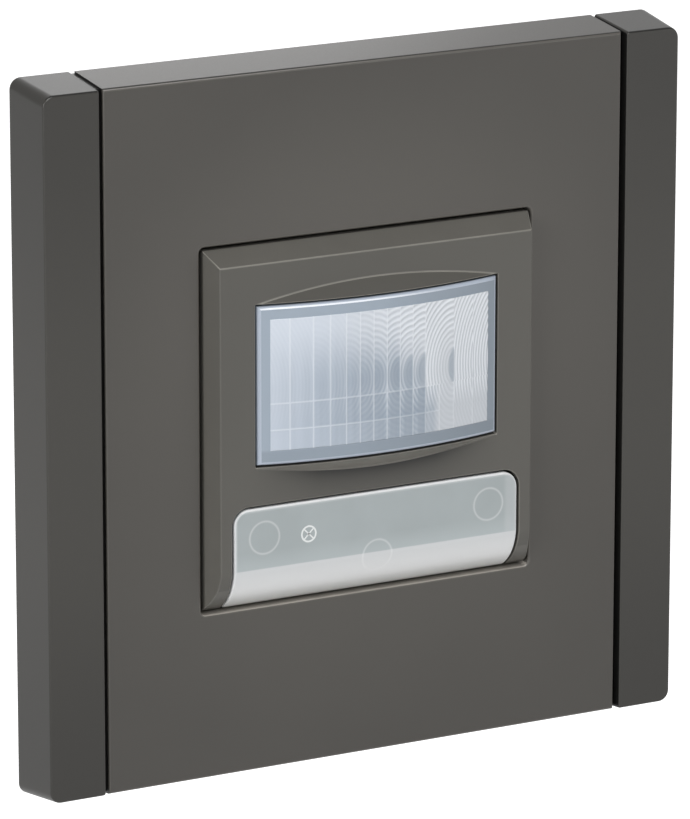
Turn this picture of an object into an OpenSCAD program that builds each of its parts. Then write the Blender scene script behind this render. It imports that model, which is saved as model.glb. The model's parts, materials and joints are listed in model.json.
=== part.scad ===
// Flush wall switch with a motion sensor: a square cover frame, a curved lens and a push key.
// X runs to the right, Y runs into the wall and Z runs up. The wall plane is Y = 0.

/* [Cover frame] */
// Width over both trim bars at the front
frame_w = 86; // [84:0.5:96]
// Height of the cover frame at the front
frame_h = 86; // [84:0.5:96]
// Distance from the wall to the front of the trim bars
frame_proud = 7.8; // [7.2:0.1:10]
// Width of one trim bar
bar_w = 7.3; // [6.4:0.1:8.2]
// Gap between a trim bar and the cover plate
bar_gap = 0.6; // [0.4:0.1:1]
// Distance of the plate's front behind the bars' front
plate_recess = 0.4; // [0.2:0.1:0.8]
// Thickness of the plate's front wall
plate_wall = 2; // [1.4:0.1:2.4]
// Thickness of the skirts that reach back to the wall
skirt_wall = 1.6; // [1.2:0.1:2]
// How far each side spreads towards the wall
side_draft = 0.55; // [0.1:0.05:1]
// How far the top and bottom spread towards the wall
end_draft = 0.85; // [0.1:0.05:1.2]
// Radius of the bars' outer corners
bar_corner_r = 1.4; // [1:0.1:3]
// Radius of the bars' inner corners
bar_inner_r = 0.3; // [0.2:0.1:1]
// Radius of the pegs that hold the bars and the plate
peg_r = 1.5; // [1:0.1:1.8]
// Length of the pegs
peg_len = 2.6; // [1.5:0.1:3]

/* [Sensor bezel] */
// Width and height of the square opening in the plate
opening_w = 45.2; // [44.4:0.1:46]
// Corner radius of the opening
opening_r = 0.65; // [0.3:0.05:1]
// Gap between the opening and the bezel
bezel_gap = 0.4; // [0.2:0.05:0.6]
// Distance of the bezel's front in front of the plate
bezel_proud = 2.6; // [2.2:0.1:4]
// How far the bezel's sides slope in towards the front
bezel_side_slope = 0.95; // [0.5:0.05:1.4]
// How far the bezel's top slopes in towards the front
bezel_top_slope = 1.7; // [0.8:0.1:2.2]
// Thickness of the bezel's walls
bezel_wall = 1.5; // [1.2:0.1:1.6]
// Width of the bezel's legs beside the key
leg_w = 2.45; // [2.3:0.05:3.4]
// Height above the bezel's foot where the lower roll starts
roll_rise = 5.1; // [4.2:0.1:5.8]
// Radius of the roll along the bezel's and key's lower edge
roll_r = 6.8; // [6:0.1:7.6]
// Angle of the crease where the roll starts
roll_crease = 7; // [3:1:12]

/* [Lens] */
// Width of the bezel beside the lens
lens_side = 5.9; // [5.7:0.1:7.2]
// Height of the lens
lens_h = 19.5; // [18:0.1:20]
// Height of the lens's middle above the middle of the part
lens_z = 5.6; // [5.2:0.1:6]
// How far the lens bulges over its width
lens_bulge = 2.15; // [1.4:0.05:3]
// How far the lens's upright edges stand in front of the bezel
lens_edge_proud = 0.15; // [0:0.05:0.6]
// Thickness of the lens sheet
lens_t = 0.9; // [0.6:0.1:1.2]
// Gap round the lens
lens_gap = 0.25; // [0.15:0.05:0.4]
// Height of the sloping brow above the lens and lip below it
brow_h = 1.7; // [1:0.1:2.2]
// Width of the flange behind the bezel's front
lens_flange = 1.2; // [0.8:0.1:1.4]
// Thickness of the flange
lens_flange_t = 0.8; // [0.5:0.1:1.2]
// Thickness of the frame that holds the lens
retainer_t = 1.2; // [0.8:0.1:1.6]

/* [Push key] */
// Height of the key's top edge
key_top = -9.45; // [-10:0.05:-9.2]
// Radius of the key's top corners
key_corner_r = 2; // [1:0.1:3]
// Thickness of the key's front
key_wall = 1.2; // [0.9:0.1:1.5]
// Gap between the key and the bezel
key_gap = 0.3; // [0.2:0.05:0.4]
// Depth of the key's side walls
key_depth = 4.1; // [3.6:0.1:4.4]
// How far the key goes in
key_travel = 0.6; // [0.4:0.05:0.8]
// Outer radius of the key's posts
post_r = 2.05; // [1.9:0.05:2.2]
// Distance of the spring posts from the key's sides
spring_inset = 4.05; // [3.65:0.05:4.85]
// Height of the spring posts
spring_z = -13.15; // [-13.6:0.05:-12.8]
// Height of the middle post
plunger_z = -17.5; // [-17.8:0.1:-17]
// Mean radius of a key spring
spring_r = 1.05; // [1:0.01:1.1]
// Radius of the spring wire
spring_wire_r = 0.18; // [0.14:0.01:0.2]
// Number of turns in a spring
spring_turns = 7; // [5:1:8]

/* [Wall fixing] */
// Width and height of the steel yoke
yoke_w = 71; // [69:0.5:73]
// Thickness of the yoke
yoke_t = 1.2; // [1:0.1:1.5]
// Distance between opposite box screws
box_screw_spacing = 60; // [59:0.1:61]
// Radius of the box screw slots
box_slot_r = 1.75; // [1.6:0.05:1.9]
// Length of the box screw slots
box_slot_len = 6.5; // [5:0.1:7]

/* [Housing] */
// Width and height of the octagonal housing
housing_w = 47; // [46:0.5:48]
// Size of the housing's corner chamfers
housing_chamfer = 8; // [7:0.5:9]
// Thickness of the housing's walls
housing_wall = 1.5; // [1.2:0.1:1.8]
// Thickness of the chassis deck
deck_t = 1.2; // [1:0.1:1.6]
// Length of the chassis posts behind the yoke's front
chassis_post_len = 4.7; // [4.4:0.1:6]
// Distance of the long housing screws from the middle
housing_screw_xz = 15.5; // [15.2:0.1:15.7]
// Radius of the housing screws
housing_screw_r = 1.1; // [0.9:0.05:1.2]

/* [Electronics] */
// Thickness of the sensor board
sensor_board_t = 1.2; // [0.8:0.1:1.6]
// Thickness of the power board
power_board_t = 1.6; // [1.2:0.1:2]
// Room between the two boards
parts_room = 13.8; // [12.5:0.1:16]
// Radius of the motion sensor can
pir_r = 4.6; // [4.2:0.1:4.8]
// Height of the motion sensor can
pir_h = 4.4; // [4:0.1:4.6]
// Width of the trimmer bases
trimmer_w = 6.4; // [5.8:0.1:6.6]
// Radius of the trimmer dials
dial_r = 2.6; // [2.2:0.1:2.7]
// Distance of the trimmers from the middle
trimmer_x = 10; // [9.6:0.1:10.2]
// Height of the trimmers
trimmer_z = -7.4; // [-7.6:0.1:-7.2]
// Width of the push switch body
tact_w = 6; // [5.6:0.1:6.4]
// Height of the push switch body
tact_h = 3.5; // [3.1:0.1:3.7]
// Radius of the push switch plunger
plunger_r = 1.7; // [1.4:0.1:1.8]

/* [Terminals] */
// Distance between terminals
terminal_pitch = 8; // [7.6:0.1:8.1]
// Length of the terminals
terminal_len = 10.4; // [10:0.1:12]
// Width of a terminal
terminal_w = 5.4; // [5:0.1:5.6]
// Radius of the wire entries
wire_r = 1.6; // [1.2:0.05:1.7]
// Depth of the wire entries
wire_depth = 9; // [7:0.1:9.4]
// Radius of the terminal screws
terminal_screw_r = 1.2; // [1:0.05:1.3]

/* [Hidden] */
$fn = 64;
hull_fn = 32;

// Small clearances, and the overlap that cuts and joins take
fit_gap = 0.1;
running_gap = 0.05;
cut = 1;
bite = 0.4;

// Depths from the front to the back
bar_front = -frame_proud;
plate_front = bar_front + plate_recess;
plate_back = plate_front + plate_wall;
bezel_front = plate_front - bezel_proud;
bezel_inside = bezel_front + bezel_wall;
deck_back = -yoke_t;
deck_front = deck_back - deck_t;
board_front = deck_back + chassis_post_len;
board_back = board_front + sensor_board_t;
power_front = board_back + parts_room;
power_back = power_front + power_board_t;
floor_front = power_back + terminal_len;
housing_back = floor_front + housing_wall;

// Cover frame
bar_in = frame_w / 2 - bar_w;
plate_hw = bar_in - bar_gap;
skirt_x = frame_w / 2 - skirt_wall;
skirt_z = frame_h / 2 - skirt_wall;
plate_tongue_hw = bar_in - fit_gap;
plate_tongue_sink = 1;
plate_tongue_inset = 0.25;
carrier_lip = 0.9;
carrier_in = yoke_w / 2 - carrier_lip;
carrier_corner_cut = 10;
bar_peg_x = (bar_in + skirt_x) / 2;
bar_peg_z = frame_h * 0.3;
plate_peg_x = plate_hw * 0.6;
plate_peg_z = (carrier_in + skirt_z) / 2;
snap_r = 1.2;
snap_len = yoke_t - 2 * fit_gap;
snap_inset = 3.3;
snap_xz = yoke_w / 2 - snap_inset;
box_head_r = 3.4;

// Bezel
bezel_hw = opening_w / 2 - bezel_gap;
bezel_in = bezel_hw - bezel_wall;
roll_z = roll_rise - bezel_hw;
roll_y = bezel_front + roll_r * cos(roll_crease);
roll_centre_z = roll_z + roll_r * sin(roll_crease);
crossbar_depth = 2.5;
tab_w = 6;
tab_t = 0.9;
tab_root = 1.5;
tab_gap = 0.15;
tab_hook = 0.25;
tab_hook_len = 0.7;
tab_reach = 1.2;
tab_heights = [12, -3.2];

// Lens
lens_hw = bezel_hw - lens_side;
lens_top = lens_z + lens_h / 2;
lens_bottom = lens_z - lens_h / 2;
lens_edge = bezel_front - lens_edge_proud;
lens_r = (lens_hw * lens_hw + lens_bulge * lens_bulge) / (2 * lens_bulge);
lens_axis_y = lens_edge - lens_bulge + lens_r;
brow_hw = lens_hw + lens_gap / 2;
brow_r = (brow_hw * brow_hw + lens_bulge * lens_bulge) / (2 * lens_bulge);
brow_axis_y = bezel_front - lens_bulge + brow_r;
flange_back = bezel_inside + lens_flange_t;
retainer_back = flange_back + retainer_t;
lens_border = 1.6;
pin_r = 0.8;
pin_x = lens_hw + lens_gap + lens_flange + pin_r + 0.3;
retainer_edge = pin_r + 0.5;
pin_top = lens_top;
pin_bottom = lens_bottom;

// Key
slot_hw = bezel_hw - leg_w;
key_hw = slot_hw - key_gap;
key_bottom = -bezel_hw;
key_back = bezel_front + key_depth;
key_inside = bezel_front + key_wall;
post_room = 0.5;
spring_x = key_hw - spring_inset;
ear_sink = 2.05;
ear_t = 1.2;
ear_drop = 2.55;
ear_front = bezel_front + ear_sink;
ear_back = ear_front + ear_t;
ear_reach = 1.15;
ear_top = key_top - ear_drop;
ear_h = 5;
ear_room = key_hw + ear_reach + key_gap;
plunger_out = 1.5;
plunger_in = 0.6;
plunger_front = board_front - tact_h - plunger_out;
post_back = plunger_front - running_gap;
spring_post_back = key_back + 0.6;
spring_room_r = spring_r + spring_wire_r + 0.25;
spring_pin_r = spring_r - spring_wire_r - 0.15;
spring_pin_len = 2.5;
led_x = -9.6;
led_z = -13.5;

// Yoke, chassis and housing
housing_gap = 0.3;
yoke_opening = housing_w + 2 * housing_gap;
chassis_hw = yoke_opening / 2 + 2;
lobe_r = 3.2;
yoke_screw_out = 2.2;
yoke_screw_xz = bezel_hw + yoke_screw_out;
yoke_screw_r = 1.2;
yoke_head_r = 2.1;
yoke_head_h = 1.3;
screw_slot_w = 0.7;
screw_slot_depth = 0.7;
boss_r = 2.4;
boss_foot_r = 3.1;
housing_head_r = 2;
housing_head_h = 1.8;
housing_head_sink = 0.4;
inner_w = housing_w - 2 * housing_wall;
tab_in = inner_w / 2 - tab_gap - tab_hook - tab_t;
inner_chamfer = housing_chamfer - housing_wall * (2 - sqrt(2));
board_gap = 0.8;
board_w = inner_w - 2 * board_gap;
board_chamfer = inner_chamfer - board_gap * (2 - sqrt(2));
vent_w = 1.4;
vent_len = 11;
vent_pitch = 3.4;
vent_count = 5;
vent_z = 8;

// Electronics
pir_flange_r = pir_r + 0.4;
pir_flange_t = 0.6;
pir_window_w = 5.6;
pir_window_h = 4.4;
pir_window_t = 0.5;
pir_lead_r = 0.23;
pir_lead_circle = 2.54;
pir_lead_len = 1.2;
lead_hole_r = 0.4;
light_x = -9;
light_z = 12;
light_r = 1.5;
light_len = 4;
led_r = 1.5;
led_rim_r = 1.9;
led_rim_t = 0.8;
led_len = 4.9;
trimmer_base_h = 3;
dial_t = 1.2;
dial_stem_r = 1;
dial_stem_len = 1.6;
dial_slot_w = 0.7;
dial_slot_depth = 0.6;
chip_x = 7;
chip_z = 16.5;
chip_w = 7;
chip_h = 4;
chip_t = 1.6;
chip_leads = 4;
chip_lead_w = 0.4;
chip_lead_reach = 1;
chip_lead_t = 0.25;
header_x = -18.2;
header_block = 2.5;
header_pins = 6;
header_pitch = 2.54;
header_pin_w = 0.64;
relay_w = 28;
relay_depth = 10;
relay_z = 4.5;
relay_clear = 1.3;
relay_base_t = 1.5;
relay_base_lip = 0.3;
film_w = 13;
film_depth = 6;
film_x = -5;
film_z = -7;
film_clear = 2.8;
can_r = 4;
can_x = 8;
can_z = -6.6;
can_clear = 2;
can_groove = 0.3;
varistor_r = 4;
varistor_t = 4;
varistor_x = -6;
varistor_z = 14.5;
wire_leg_r = 0.4;
wire_leg_len = 2;
fuse_r = 4.2;
fuse_h = 8;
fuse_x = 5;
fuse_z = 15;

// Terminals
terminal_top = -13.3;
terminal_h = 6.4;
terminal_z = terminal_top - terminal_h / 2;
wire_z = terminal_top - wire_r - 0.7;
terminal_screw_y = floor_front - wire_depth / 2;
terminal_head_r = 1.9;
terminal_head_h = 1.5;
terminal_head_gap = 0.2;
entry_r = wire_r + 0.5;
shroud_wall = 1.1;
shroud_hw = terminal_pitch + terminal_w / 2 + shroud_wall;

// Slab of a front outline, from one depth to another
module slab_y(front, back) {
    translate([0, back, 0])
        rotate([90, 0, 0])
            linear_extrude(height = back - front)
                children();
}

// Profile of depth and height, run from left to right
module run_x(left, right) {
    translate([left, 0, 0])
        rotate([90, 0, 90])
            linear_extrude(height = right - left)
                children();
}

// Round rod along Y
module rod_y(x, z, r, front, back) {
    translate([x, back, z])
        rotate([90, 0, 0])
            cylinder(r = r, h = back - front);
}

// Box given by its lower and upper corners
module box(low, high) {
    translate(low)
        cube(high - low);
}

module at_corners(dx, dz) {
    for (x = [-dx, dx], z = [-dz, dz])
        translate([x, 0, z])
            children();
}

module round_square(w, h, r) {
    square([w, h - 2 * r], center = true);
    square([w - 2 * r, h], center = true);
    for (x = [r - w / 2, w / 2 - r], y = [r - h / 2, h / 2 - r])
        translate([x, y])
            circle(r = r);
}

module octagon(w, chamfer) {
    intersection() {
        square(w, center = true);
        rotate(45)
            square(sqrt(2) * (w - chamfer), center = true);
    }
}

module slot_outline(length, r) {
    square([length - 2 * r, 2 * r], center = true);
    for (x = [r - length / 2, length / 2 - r])
        translate([x, 0])
            circle(r = r);
}

// Four places at the box screw spacing, each slot running out from the middle
module at_box_screws() {
    for (turn = [0:90:270])
        rotate([0, turn, 0])
            translate([box_screw_spacing / 2, 0, 0])
                children();
}

module bar_outline(front, back, out_x, out_z) {
    corners = [
        [out_x - bar_corner_r, out_z - bar_corner_r, bar_corner_r],
        [out_x - bar_corner_r, bar_corner_r - out_z, bar_corner_r],
        [bar_in + bar_inner_r, out_z - bar_inner_r, bar_inner_r],
        [bar_in + bar_inner_r, bar_inner_r - out_z, bar_inner_r]
    ];
    for (corner = corners)
        rod_y(corner[0], corner[1], corner[2], front, back, $fn = hull_fn);
}

// Right-hand bar: a drafted front with skirts at its outer side and ends
module trim_bar_shape() {
    slice = 0.05;
    difference() {
        hull() {
            bar_outline(bar_front, bar_front + slice, frame_w / 2, frame_h / 2);
            bar_outline(-slice, 0, frame_w / 2 + side_draft, frame_h / 2 + end_draft);
        }
        box([bar_in - cut, plate_back, -skirt_z], [skirt_x, cut, skirt_z]);
    }
    for (z = [-bar_peg_z, bar_peg_z])
        rod_y(bar_peg_x, z, peg_r, plate_back - bite, plate_back + peg_len);
}

module left_trim_bar() {
    color([0.30, 0.29, 0.27])
        mirror([1, 0, 0])
            trim_bar_shape();
}

module right_trim_bar() {
    color([0.30, 0.29, 0.27])
        trim_bar_shape();
}

// Upright section of the plate, with its front sunk and its ends set in
module plate_section(sink, inset) {
    front = plate_front + sink;
    front_hh = frame_h / 2 + end_draft * (front - bar_front) / frame_proud - inset;
    back_hh = frame_h / 2 + end_draft - inset;
    polygon([[front, -front_hh], [front, front_hh], [0, back_hh], [0, -back_hh]]);
}

// Front plate with a thin tongue at each side that closes the gap beside the bar
module cover_plate() {
    color([0.35, 0.34, 0.32]) {
        difference() {
            union() {
                run_x(-plate_hw, plate_hw)
                    plate_section(0, 0);
                run_x(-plate_tongue_hw, plate_tongue_hw)
                    plate_section(plate_tongue_sink, plate_tongue_inset);
            }
            box([-plate_hw - cut, plate_back, -skirt_z], [plate_hw + cut, cut, skirt_z]);
            slab_y(plate_front - cut, plate_back + cut)
                round_square(opening_w, opening_w, opening_r);
        }
        at_corners(plate_peg_x, plate_peg_z)
            rod_y(0, 0, peg_r, plate_back - bite, plate_back + peg_len);
    }
}

// Hidden ring that carries the bars and the plate and snaps onto the yoke
module frame_carrier() {
    outer_w = 2 * (skirt_x - fit_gap);
    outer_h = 2 * (skirt_z - fit_gap);
    hole_len = peg_len + fit_gap;
    color([0.55, 0.55, 0.53]) {
        difference() {
            slab_y(plate_back, 0)
                square([outer_w, outer_h], center = true);
            slab_y(plate_back - cut, cut)
                octagon(2 * carrier_in, carrier_corner_cut);
            slab_y(deck_back, cut)
                square(yoke_w + 2 * fit_gap, center = true);
            for (x = [-bar_peg_x, bar_peg_x], z = [-bar_peg_z, bar_peg_z])
                rod_y(x, z, peg_r + running_gap, plate_back - cut, plate_back + hole_len);
            at_corners(plate_peg_x, plate_peg_z)
                rod_y(0, 0, peg_r + running_gap, plate_back - cut, plate_back + hole_len);
            at_box_screws()
                slab_y(plate_back - cut, deck_back)
                    slot_outline(box_slot_len + 2 * box_head_r, box_head_r);
        }
        at_corners(snap_xz, snap_xz)
            rod_y(0, 0, snap_r, deck_back - bite, deck_back + snap_len);
    }
}

// Lower edge in depth and height: a straight front, a crease and a round roll, set in by a wall
module roll_profile(top, back, inset) {
    front = bezel_front + inset;
    low = key_bottom - (inset > 0 ? cut : 0);
    translate([front, roll_z])
        square([back - front, top - roll_z]);
    intersection() {
        translate([front, low])
            square([back - front, roll_z - low]);
        translate([roll_y, roll_centre_z])
            circle(r = roll_r - inset);
    }
}

module bezel_body() {
    intersection() {
        translate([0, 0, -bezel_hw])
            linear_extrude(height = 2 * bezel_hw)
                polygon([
                    [-bezel_hw, deck_front],
                    [-bezel_hw, plate_front],
                    [bezel_side_slope - bezel_hw, bezel_front],
                    [bezel_hw - bezel_side_slope, bezel_front],
                    [bezel_hw, plate_front],
                    [bezel_hw, deck_front]
                ]);
        run_x(-bezel_hw, bezel_hw) {
            roll_profile(0, deck_front, 0);
            polygon([
                [deck_front, 0],
                [deck_front, bezel_hw],
                [plate_front, bezel_hw],
                [bezel_front, bezel_hw - bezel_top_slope],
                [bezel_front, 0]
            ]);
        }
    }
}

// Curved ledge in front of the bezel, fading into its front away from the lens
module brow(edge_z, up) {
    intersection() {
        translate([0, brow_axis_y, edge_z])
            mirror([0, 0, up ? 0 : 1])
                cylinder(r1 = brow_r, r2 = brow_r - lens_bulge, h = brow_h);
        box(
            [-lens_hw - brow_h, bezel_front - lens_bulge - cut, edge_z - brow_h - cut],
            [lens_hw + brow_h, bezel_front + bite, edge_z + brow_h + cut]
        );
    }
}

// Hooked tabs inside the housing's wall, on roots that run to the bezel's wall
module bezel_tabs() {
    tab_out = tab_in + tab_t;
    for (side = [0, 1], z = tab_heights)
        mirror([side, 0, 0]) {
            box(
                [min(tab_in, bezel_in), deck_front - tab_root, z - tab_w / 2],
                [max(tab_out, bezel_hw), deck_front, z + tab_w / 2]
            );
            box(
                [tab_in, deck_front - bite, z - tab_w / 2],
                [tab_out, deck_back + tab_reach, z + tab_w / 2]
            );
            box(
                [tab_out - bite, deck_back + running_gap, z - tab_w / 2],
                [tab_out + tab_hook, deck_back + running_gap + tab_hook_len, z + tab_w / 2]
            );
        }
}

module sensor_bezel() {
    window_hw = lens_hw + lens_gap;
    color([0.42, 0.41, 0.39]) {
        difference() {
            union() {
                bezel_body();
                brow(lens_top + lens_gap, true);
                brow(lens_bottom - lens_gap, false);
            }
            box([-bezel_in, bezel_inside, key_top + key_gap], [bezel_in, cut, bezel_in]);
            box(
                [-window_hw, bezel_front - cut, lens_bottom - lens_gap],
                [window_hw, bezel_inside + cut, lens_top + lens_gap]
            );
            slab_y(bezel_front - cut, cut)
                key_outline(slot_hw, key_top + key_gap, key_corner_r + key_gap);
            box(
                [-ear_room, ear_front - running_gap, ear_top - ear_h - key_gap],
                [ear_room, cut, ear_top + key_gap]
            );
        }
        difference() {
            box(
                [-bezel_hw + bite, deck_front - crossbar_depth, -bezel_hw],
                [bezel_hw - bite, deck_front, bezel_wall - bezel_hw]
            );
            rod_y(0, plunger_z, post_r + post_room, deck_front - crossbar_depth - cut, deck_front + cut);
        }
        for (x = [-pin_x, pin_x], z = [pin_bottom, pin_top])
            rod_y(x, z, pin_r, bezel_inside - bite, retainer_back);
        bezel_tabs();
    }
}

// Curved sheet with an open back and a flange that sits behind the bezel's front
module fresnel_lens() {
    flange_hw = lens_hw + lens_gap + lens_flange;
    flange_hh = lens_h / 2 + lens_gap + lens_flange;
    color([0.80, 0.83, 0.87])
        difference() {
            union() {
                intersection() {
                    translate([0, lens_axis_y, lens_bottom])
                        cylinder(r = lens_r, h = lens_h);
                    box(
                        [-lens_hw, lens_edge - lens_bulge - cut, lens_bottom],
                        [lens_hw, flange_back, lens_top]
                    );
                }
                box(
                    [-flange_hw, bezel_inside, lens_z - flange_hh],
                    [flange_hw, flange_back, lens_z + flange_hh]
                );
            }
            intersection() {
                translate([0, lens_axis_y, lens_bottom])
                    cylinder(r = lens_r - lens_t, h = lens_h);
                box(
                    [lens_t - lens_hw, lens_edge - lens_bulge, lens_bottom + lens_t],
                    [lens_hw - lens_t, flange_back + cut, lens_top - lens_t]
                );
            }
        }
}

module lens_retainer() {
    outer_hw = pin_x + retainer_edge;
    outer_low = pin_bottom - retainer_edge;
    outer_high = pin_top + retainer_edge;
    color([0.12, 0.12, 0.13])
        difference() {
            box([-outer_hw, flange_back, outer_low], [outer_hw, retainer_back, outer_high]);
            box(
                [lens_border - lens_hw, flange_back - cut, lens_bottom + lens_border],
                [lens_hw - lens_border, retainer_back + cut, lens_top - lens_border]
            );
            for (x = [-pin_x, pin_x], z = [pin_bottom, pin_top])
                rod_y(x, z, pin_r + running_gap, flange_back - cut, retainer_back + cut);
        }
}

// Front outline of the key: round top corners, open below
module key_outline(half, top, r) {
    low = -bezel_hw - cut;
    translate([-half, low])
        square([2 * half, top - r - low]);
    translate([r - half, low])
        square([2 * (half - r), top - low]);
    for (x = [r - half, half - r])
        translate([x, top - r])
            circle(r = r);
}

module push_key() {
    color([0.72, 0.75, 0.76]) {
        difference() {
            intersection() {
                run_x(-key_hw, key_hw)
                    roll_profile(key_top, key_back, 0);
                slab_y(bezel_front - cut, key_back + cut)
                    key_outline(key_hw, key_top, key_corner_r);
            }
            intersection() {
                run_x(key_wall - key_hw, key_hw - key_wall)
                    roll_profile(key_top - key_wall, key_back + cut, key_wall);
                slab_y(bezel_front, key_back + 2 * cut)
                    key_outline(key_hw - key_wall, key_top - key_wall, key_corner_r - key_wall / 2);
            }
        }
        for (side = [0, 1])
            mirror([side, 0, 0])
                box([key_hw - bite, ear_front, ear_top - ear_h], [key_hw + ear_reach, ear_back, ear_top]);
        for (x = [-spring_x, spring_x])
            difference() {
                rod_y(x, spring_z, post_r, key_inside - bite, spring_post_back);
                rod_y(x, spring_z, spring_room_r, key_inside, spring_post_back + cut);
            }
        intersection() {
            rod_y(0, plunger_z, post_r, key_inside - bite / 2, post_back);
            run_x(-key_hw, key_hw)
                roll_profile(key_top, post_back + cut, key_wall / 2);
        }
    }
}

// Key spring: one unbroken wire wound along Y between the key and the chassis
spring_front = key_inside + spring_wire_r + running_gap;
spring_back = deck_front - spring_wire_r - running_gap;
spring_sides = 6;
spring_turn_rings = 10;
spring_rings = spring_turns * spring_turn_rings;
spring_pitch = (spring_back - spring_front) / spring_turns;
spring_slope = atan(spring_pitch / (2 * PI * spring_r));

function spring_centre(i) =
    let (turn = 360 * i / spring_turn_rings)
    [
        spring_r * cos(turn),
        spring_front + spring_pitch * i / spring_turn_rings,
        spring_r * sin(turn)
    ];

function spring_ring_point(i, j) =
    let (turn = 360 * i / spring_turn_rings, side = 360 * j / spring_sides)
    let (radial = [cos(turn), 0, sin(turn)])
    let (rise = [sin(turn) * sin(spring_slope), cos(spring_slope), -cos(turn) * sin(spring_slope)])
    spring_centre(i) + spring_wire_r * (cos(side) * radial + sin(side) * rise);

function spring_corner(i, j) = i * spring_sides + j % spring_sides;

spring_points = [for (i = [0:spring_rings], j = [0:spring_sides - 1]) spring_ring_point(i, j)];
spring_side_faces = [
    for (i = [0:spring_rings - 1], j = [0:spring_sides - 1], half = [0, 1])
        half == 0
            ? [spring_corner(i, j), spring_corner(i + 1, j), spring_corner(i + 1, j + 1)]
            : [spring_corner(i, j), spring_corner(i + 1, j + 1), spring_corner(i, j + 1)]
];
spring_end_faces = [
    for (j = [1:spring_sides - 2], end = [0, 1])
        end == 0
            ? [spring_corner(0, 0), spring_corner(0, j), spring_corner(0, j + 1)]
            : [
                spring_corner(spring_rings, 0),
                spring_corner(spring_rings, j + 1),
                spring_corner(spring_rings, j)
            ]
];
spring_least_gap = min([
    for (i = [0:spring_turn_rings], j = [spring_turn_rings / 2:spring_rings - spring_turn_rings])
        norm(spring_centre(i) - spring_centre(i + j)) - 2 * spring_wire_r
]);
echo(spring_least_gap = spring_least_gap);

module key_spring(x) {
    color([0.75, 0.76, 0.78])
        translate([x, 0, spring_z])
            polyhedron(points = spring_points, faces = concat(spring_side_faces, spring_end_faces));
}

module key_spring_left() {
    key_spring(-spring_x);
}

module key_spring_right() {
    key_spring(spring_x);
}

// Deck with the lens's light way, screw lobes on the yoke and posts for the boards behind
module sensor_chassis() {
    way_hw = lens_hw - lens_border - 1;
    color([0.88, 0.88, 0.86]) {
        difference() {
            slab_y(deck_front, deck_back) {
                square(2 * chassis_hw, center = true);
                for (x = [-yoke_screw_xz, yoke_screw_xz], y = [-yoke_screw_xz, yoke_screw_xz])
                    translate([x, y])
                        circle(r = lobe_r);
            }
            box(
                [-way_hw, deck_front - cut, lens_bottom + lens_border - 0.5],
                [way_hw, deck_back + cut, lens_top - lens_border]
            );
            at_corners(yoke_screw_xz, yoke_screw_xz)
                rod_y(0, 0, yoke_screw_r + fit_gap, deck_front - cut, deck_back + cut);
            rod_y(0, plunger_z, post_r + post_room, deck_front - cut, deck_back + cut);
            rod_y(led_x, led_z, led_rim_r + 0.3, deck_front - cut, deck_back + cut);
            for (x = [-trimmer_x, trimmer_x])
                rod_y(x, trimmer_z, dial_r + 0.3, deck_front - cut, deck_back + cut);
            for (side = [0, 1], z = tab_heights)
                mirror([side, 0, 0])
                    box(
                        [tab_in - fit_gap, deck_front - cut, z - tab_w / 2 - fit_gap],
                        [tab_in + tab_t + fit_gap, deck_back + cut, z + tab_w / 2 + fit_gap]
                    );
        }
        for (x = [-spring_x, spring_x])
            rod_y(x, spring_z, spring_pin_r, deck_front - spring_pin_len, deck_front + bite);
        at_corners(housing_screw_xz, housing_screw_xz)
            difference() {
                rod_y(0, 0, boss_r, deck_back - bite, board_front);
                rod_y(0, 0, housing_screw_r + running_gap, deck_back + bite, board_front + cut);
            }
    }
}

module yoke_screws() {
    color([0.72, 0.73, 0.75])
        at_corners(yoke_screw_xz, yoke_screw_xz)
            difference() {
                union() {
                    rod_y(0, 0, yoke_head_r, deck_front - yoke_head_h, deck_front);
                    rod_y(0, 0, yoke_screw_r, deck_front - bite, -fit_gap);
                }
                box(
                    [-yoke_head_r - cut, deck_front - yoke_head_h - cut, -screw_slot_w / 2],
                    [yoke_head_r + cut, deck_front - yoke_head_h + screw_slot_depth, screw_slot_w / 2]
                );
            }
}

module mounting_yoke() {
    color([0.70, 0.71, 0.72])
        difference() {
            slab_y(-yoke_t, 0)
                square(yoke_w, center = true);
            slab_y(-yoke_t - cut, cut)
                octagon(yoke_opening, housing_chamfer);
            at_box_screws()
                slab_y(-yoke_t - cut, cut)
                    slot_outline(box_slot_len, box_slot_r);
            at_corners(yoke_screw_xz, yoke_screw_xz)
                rod_y(0, 0, yoke_screw_r + running_gap, -yoke_t - cut, cut);
            at_corners(snap_xz, snap_xz)
                rod_y(0, 0, snap_r + running_gap, -yoke_t - cut, cut);
        }
}

module rear_housing() {
    head_seat = housing_back - housing_head_h - housing_head_sink;
    color([0.90, 0.90, 0.87])
        difference() {
            union() {
                difference() {
                    slab_y(deck_back, housing_back)
                        octagon(housing_w, housing_chamfer);
                    slab_y(deck_back - cut, floor_front)
                        octagon(inner_w, inner_chamfer);
                }
                at_corners(housing_screw_xz, housing_screw_xz) {
                    rod_y(0, 0, boss_r, board_back, floor_front + bite);
                    rod_y(0, 0, boss_foot_r, power_back, floor_front + bite);
                }
            }
            at_corners(housing_screw_xz, housing_screw_xz) {
                rod_y(0, 0, housing_screw_r + fit_gap, board_back - cut, housing_back + cut);
                rod_y(0, 0, housing_head_r + fit_gap, head_seat, housing_back + cut);
            }
            for (x = [-terminal_pitch, 0, terminal_pitch]) {
                rod_y(x, wire_z, entry_r, floor_front - cut, housing_back + cut);
                translate([x, terminal_screw_y, -housing_w / 2 - cut])
                    cylinder(r = terminal_head_r + 0.3, h = housing_wall + 2 * cut);
            }
            for (i = [0:vent_count - 1])
                translate([(i - (vent_count - 1) / 2) * vent_pitch, 0, vent_z])
                    box(
                        [-vent_w / 2, floor_front - cut, -vent_len / 2],
                        [vent_w / 2, housing_back + cut, vent_len / 2]
                    );
        }
}

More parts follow.
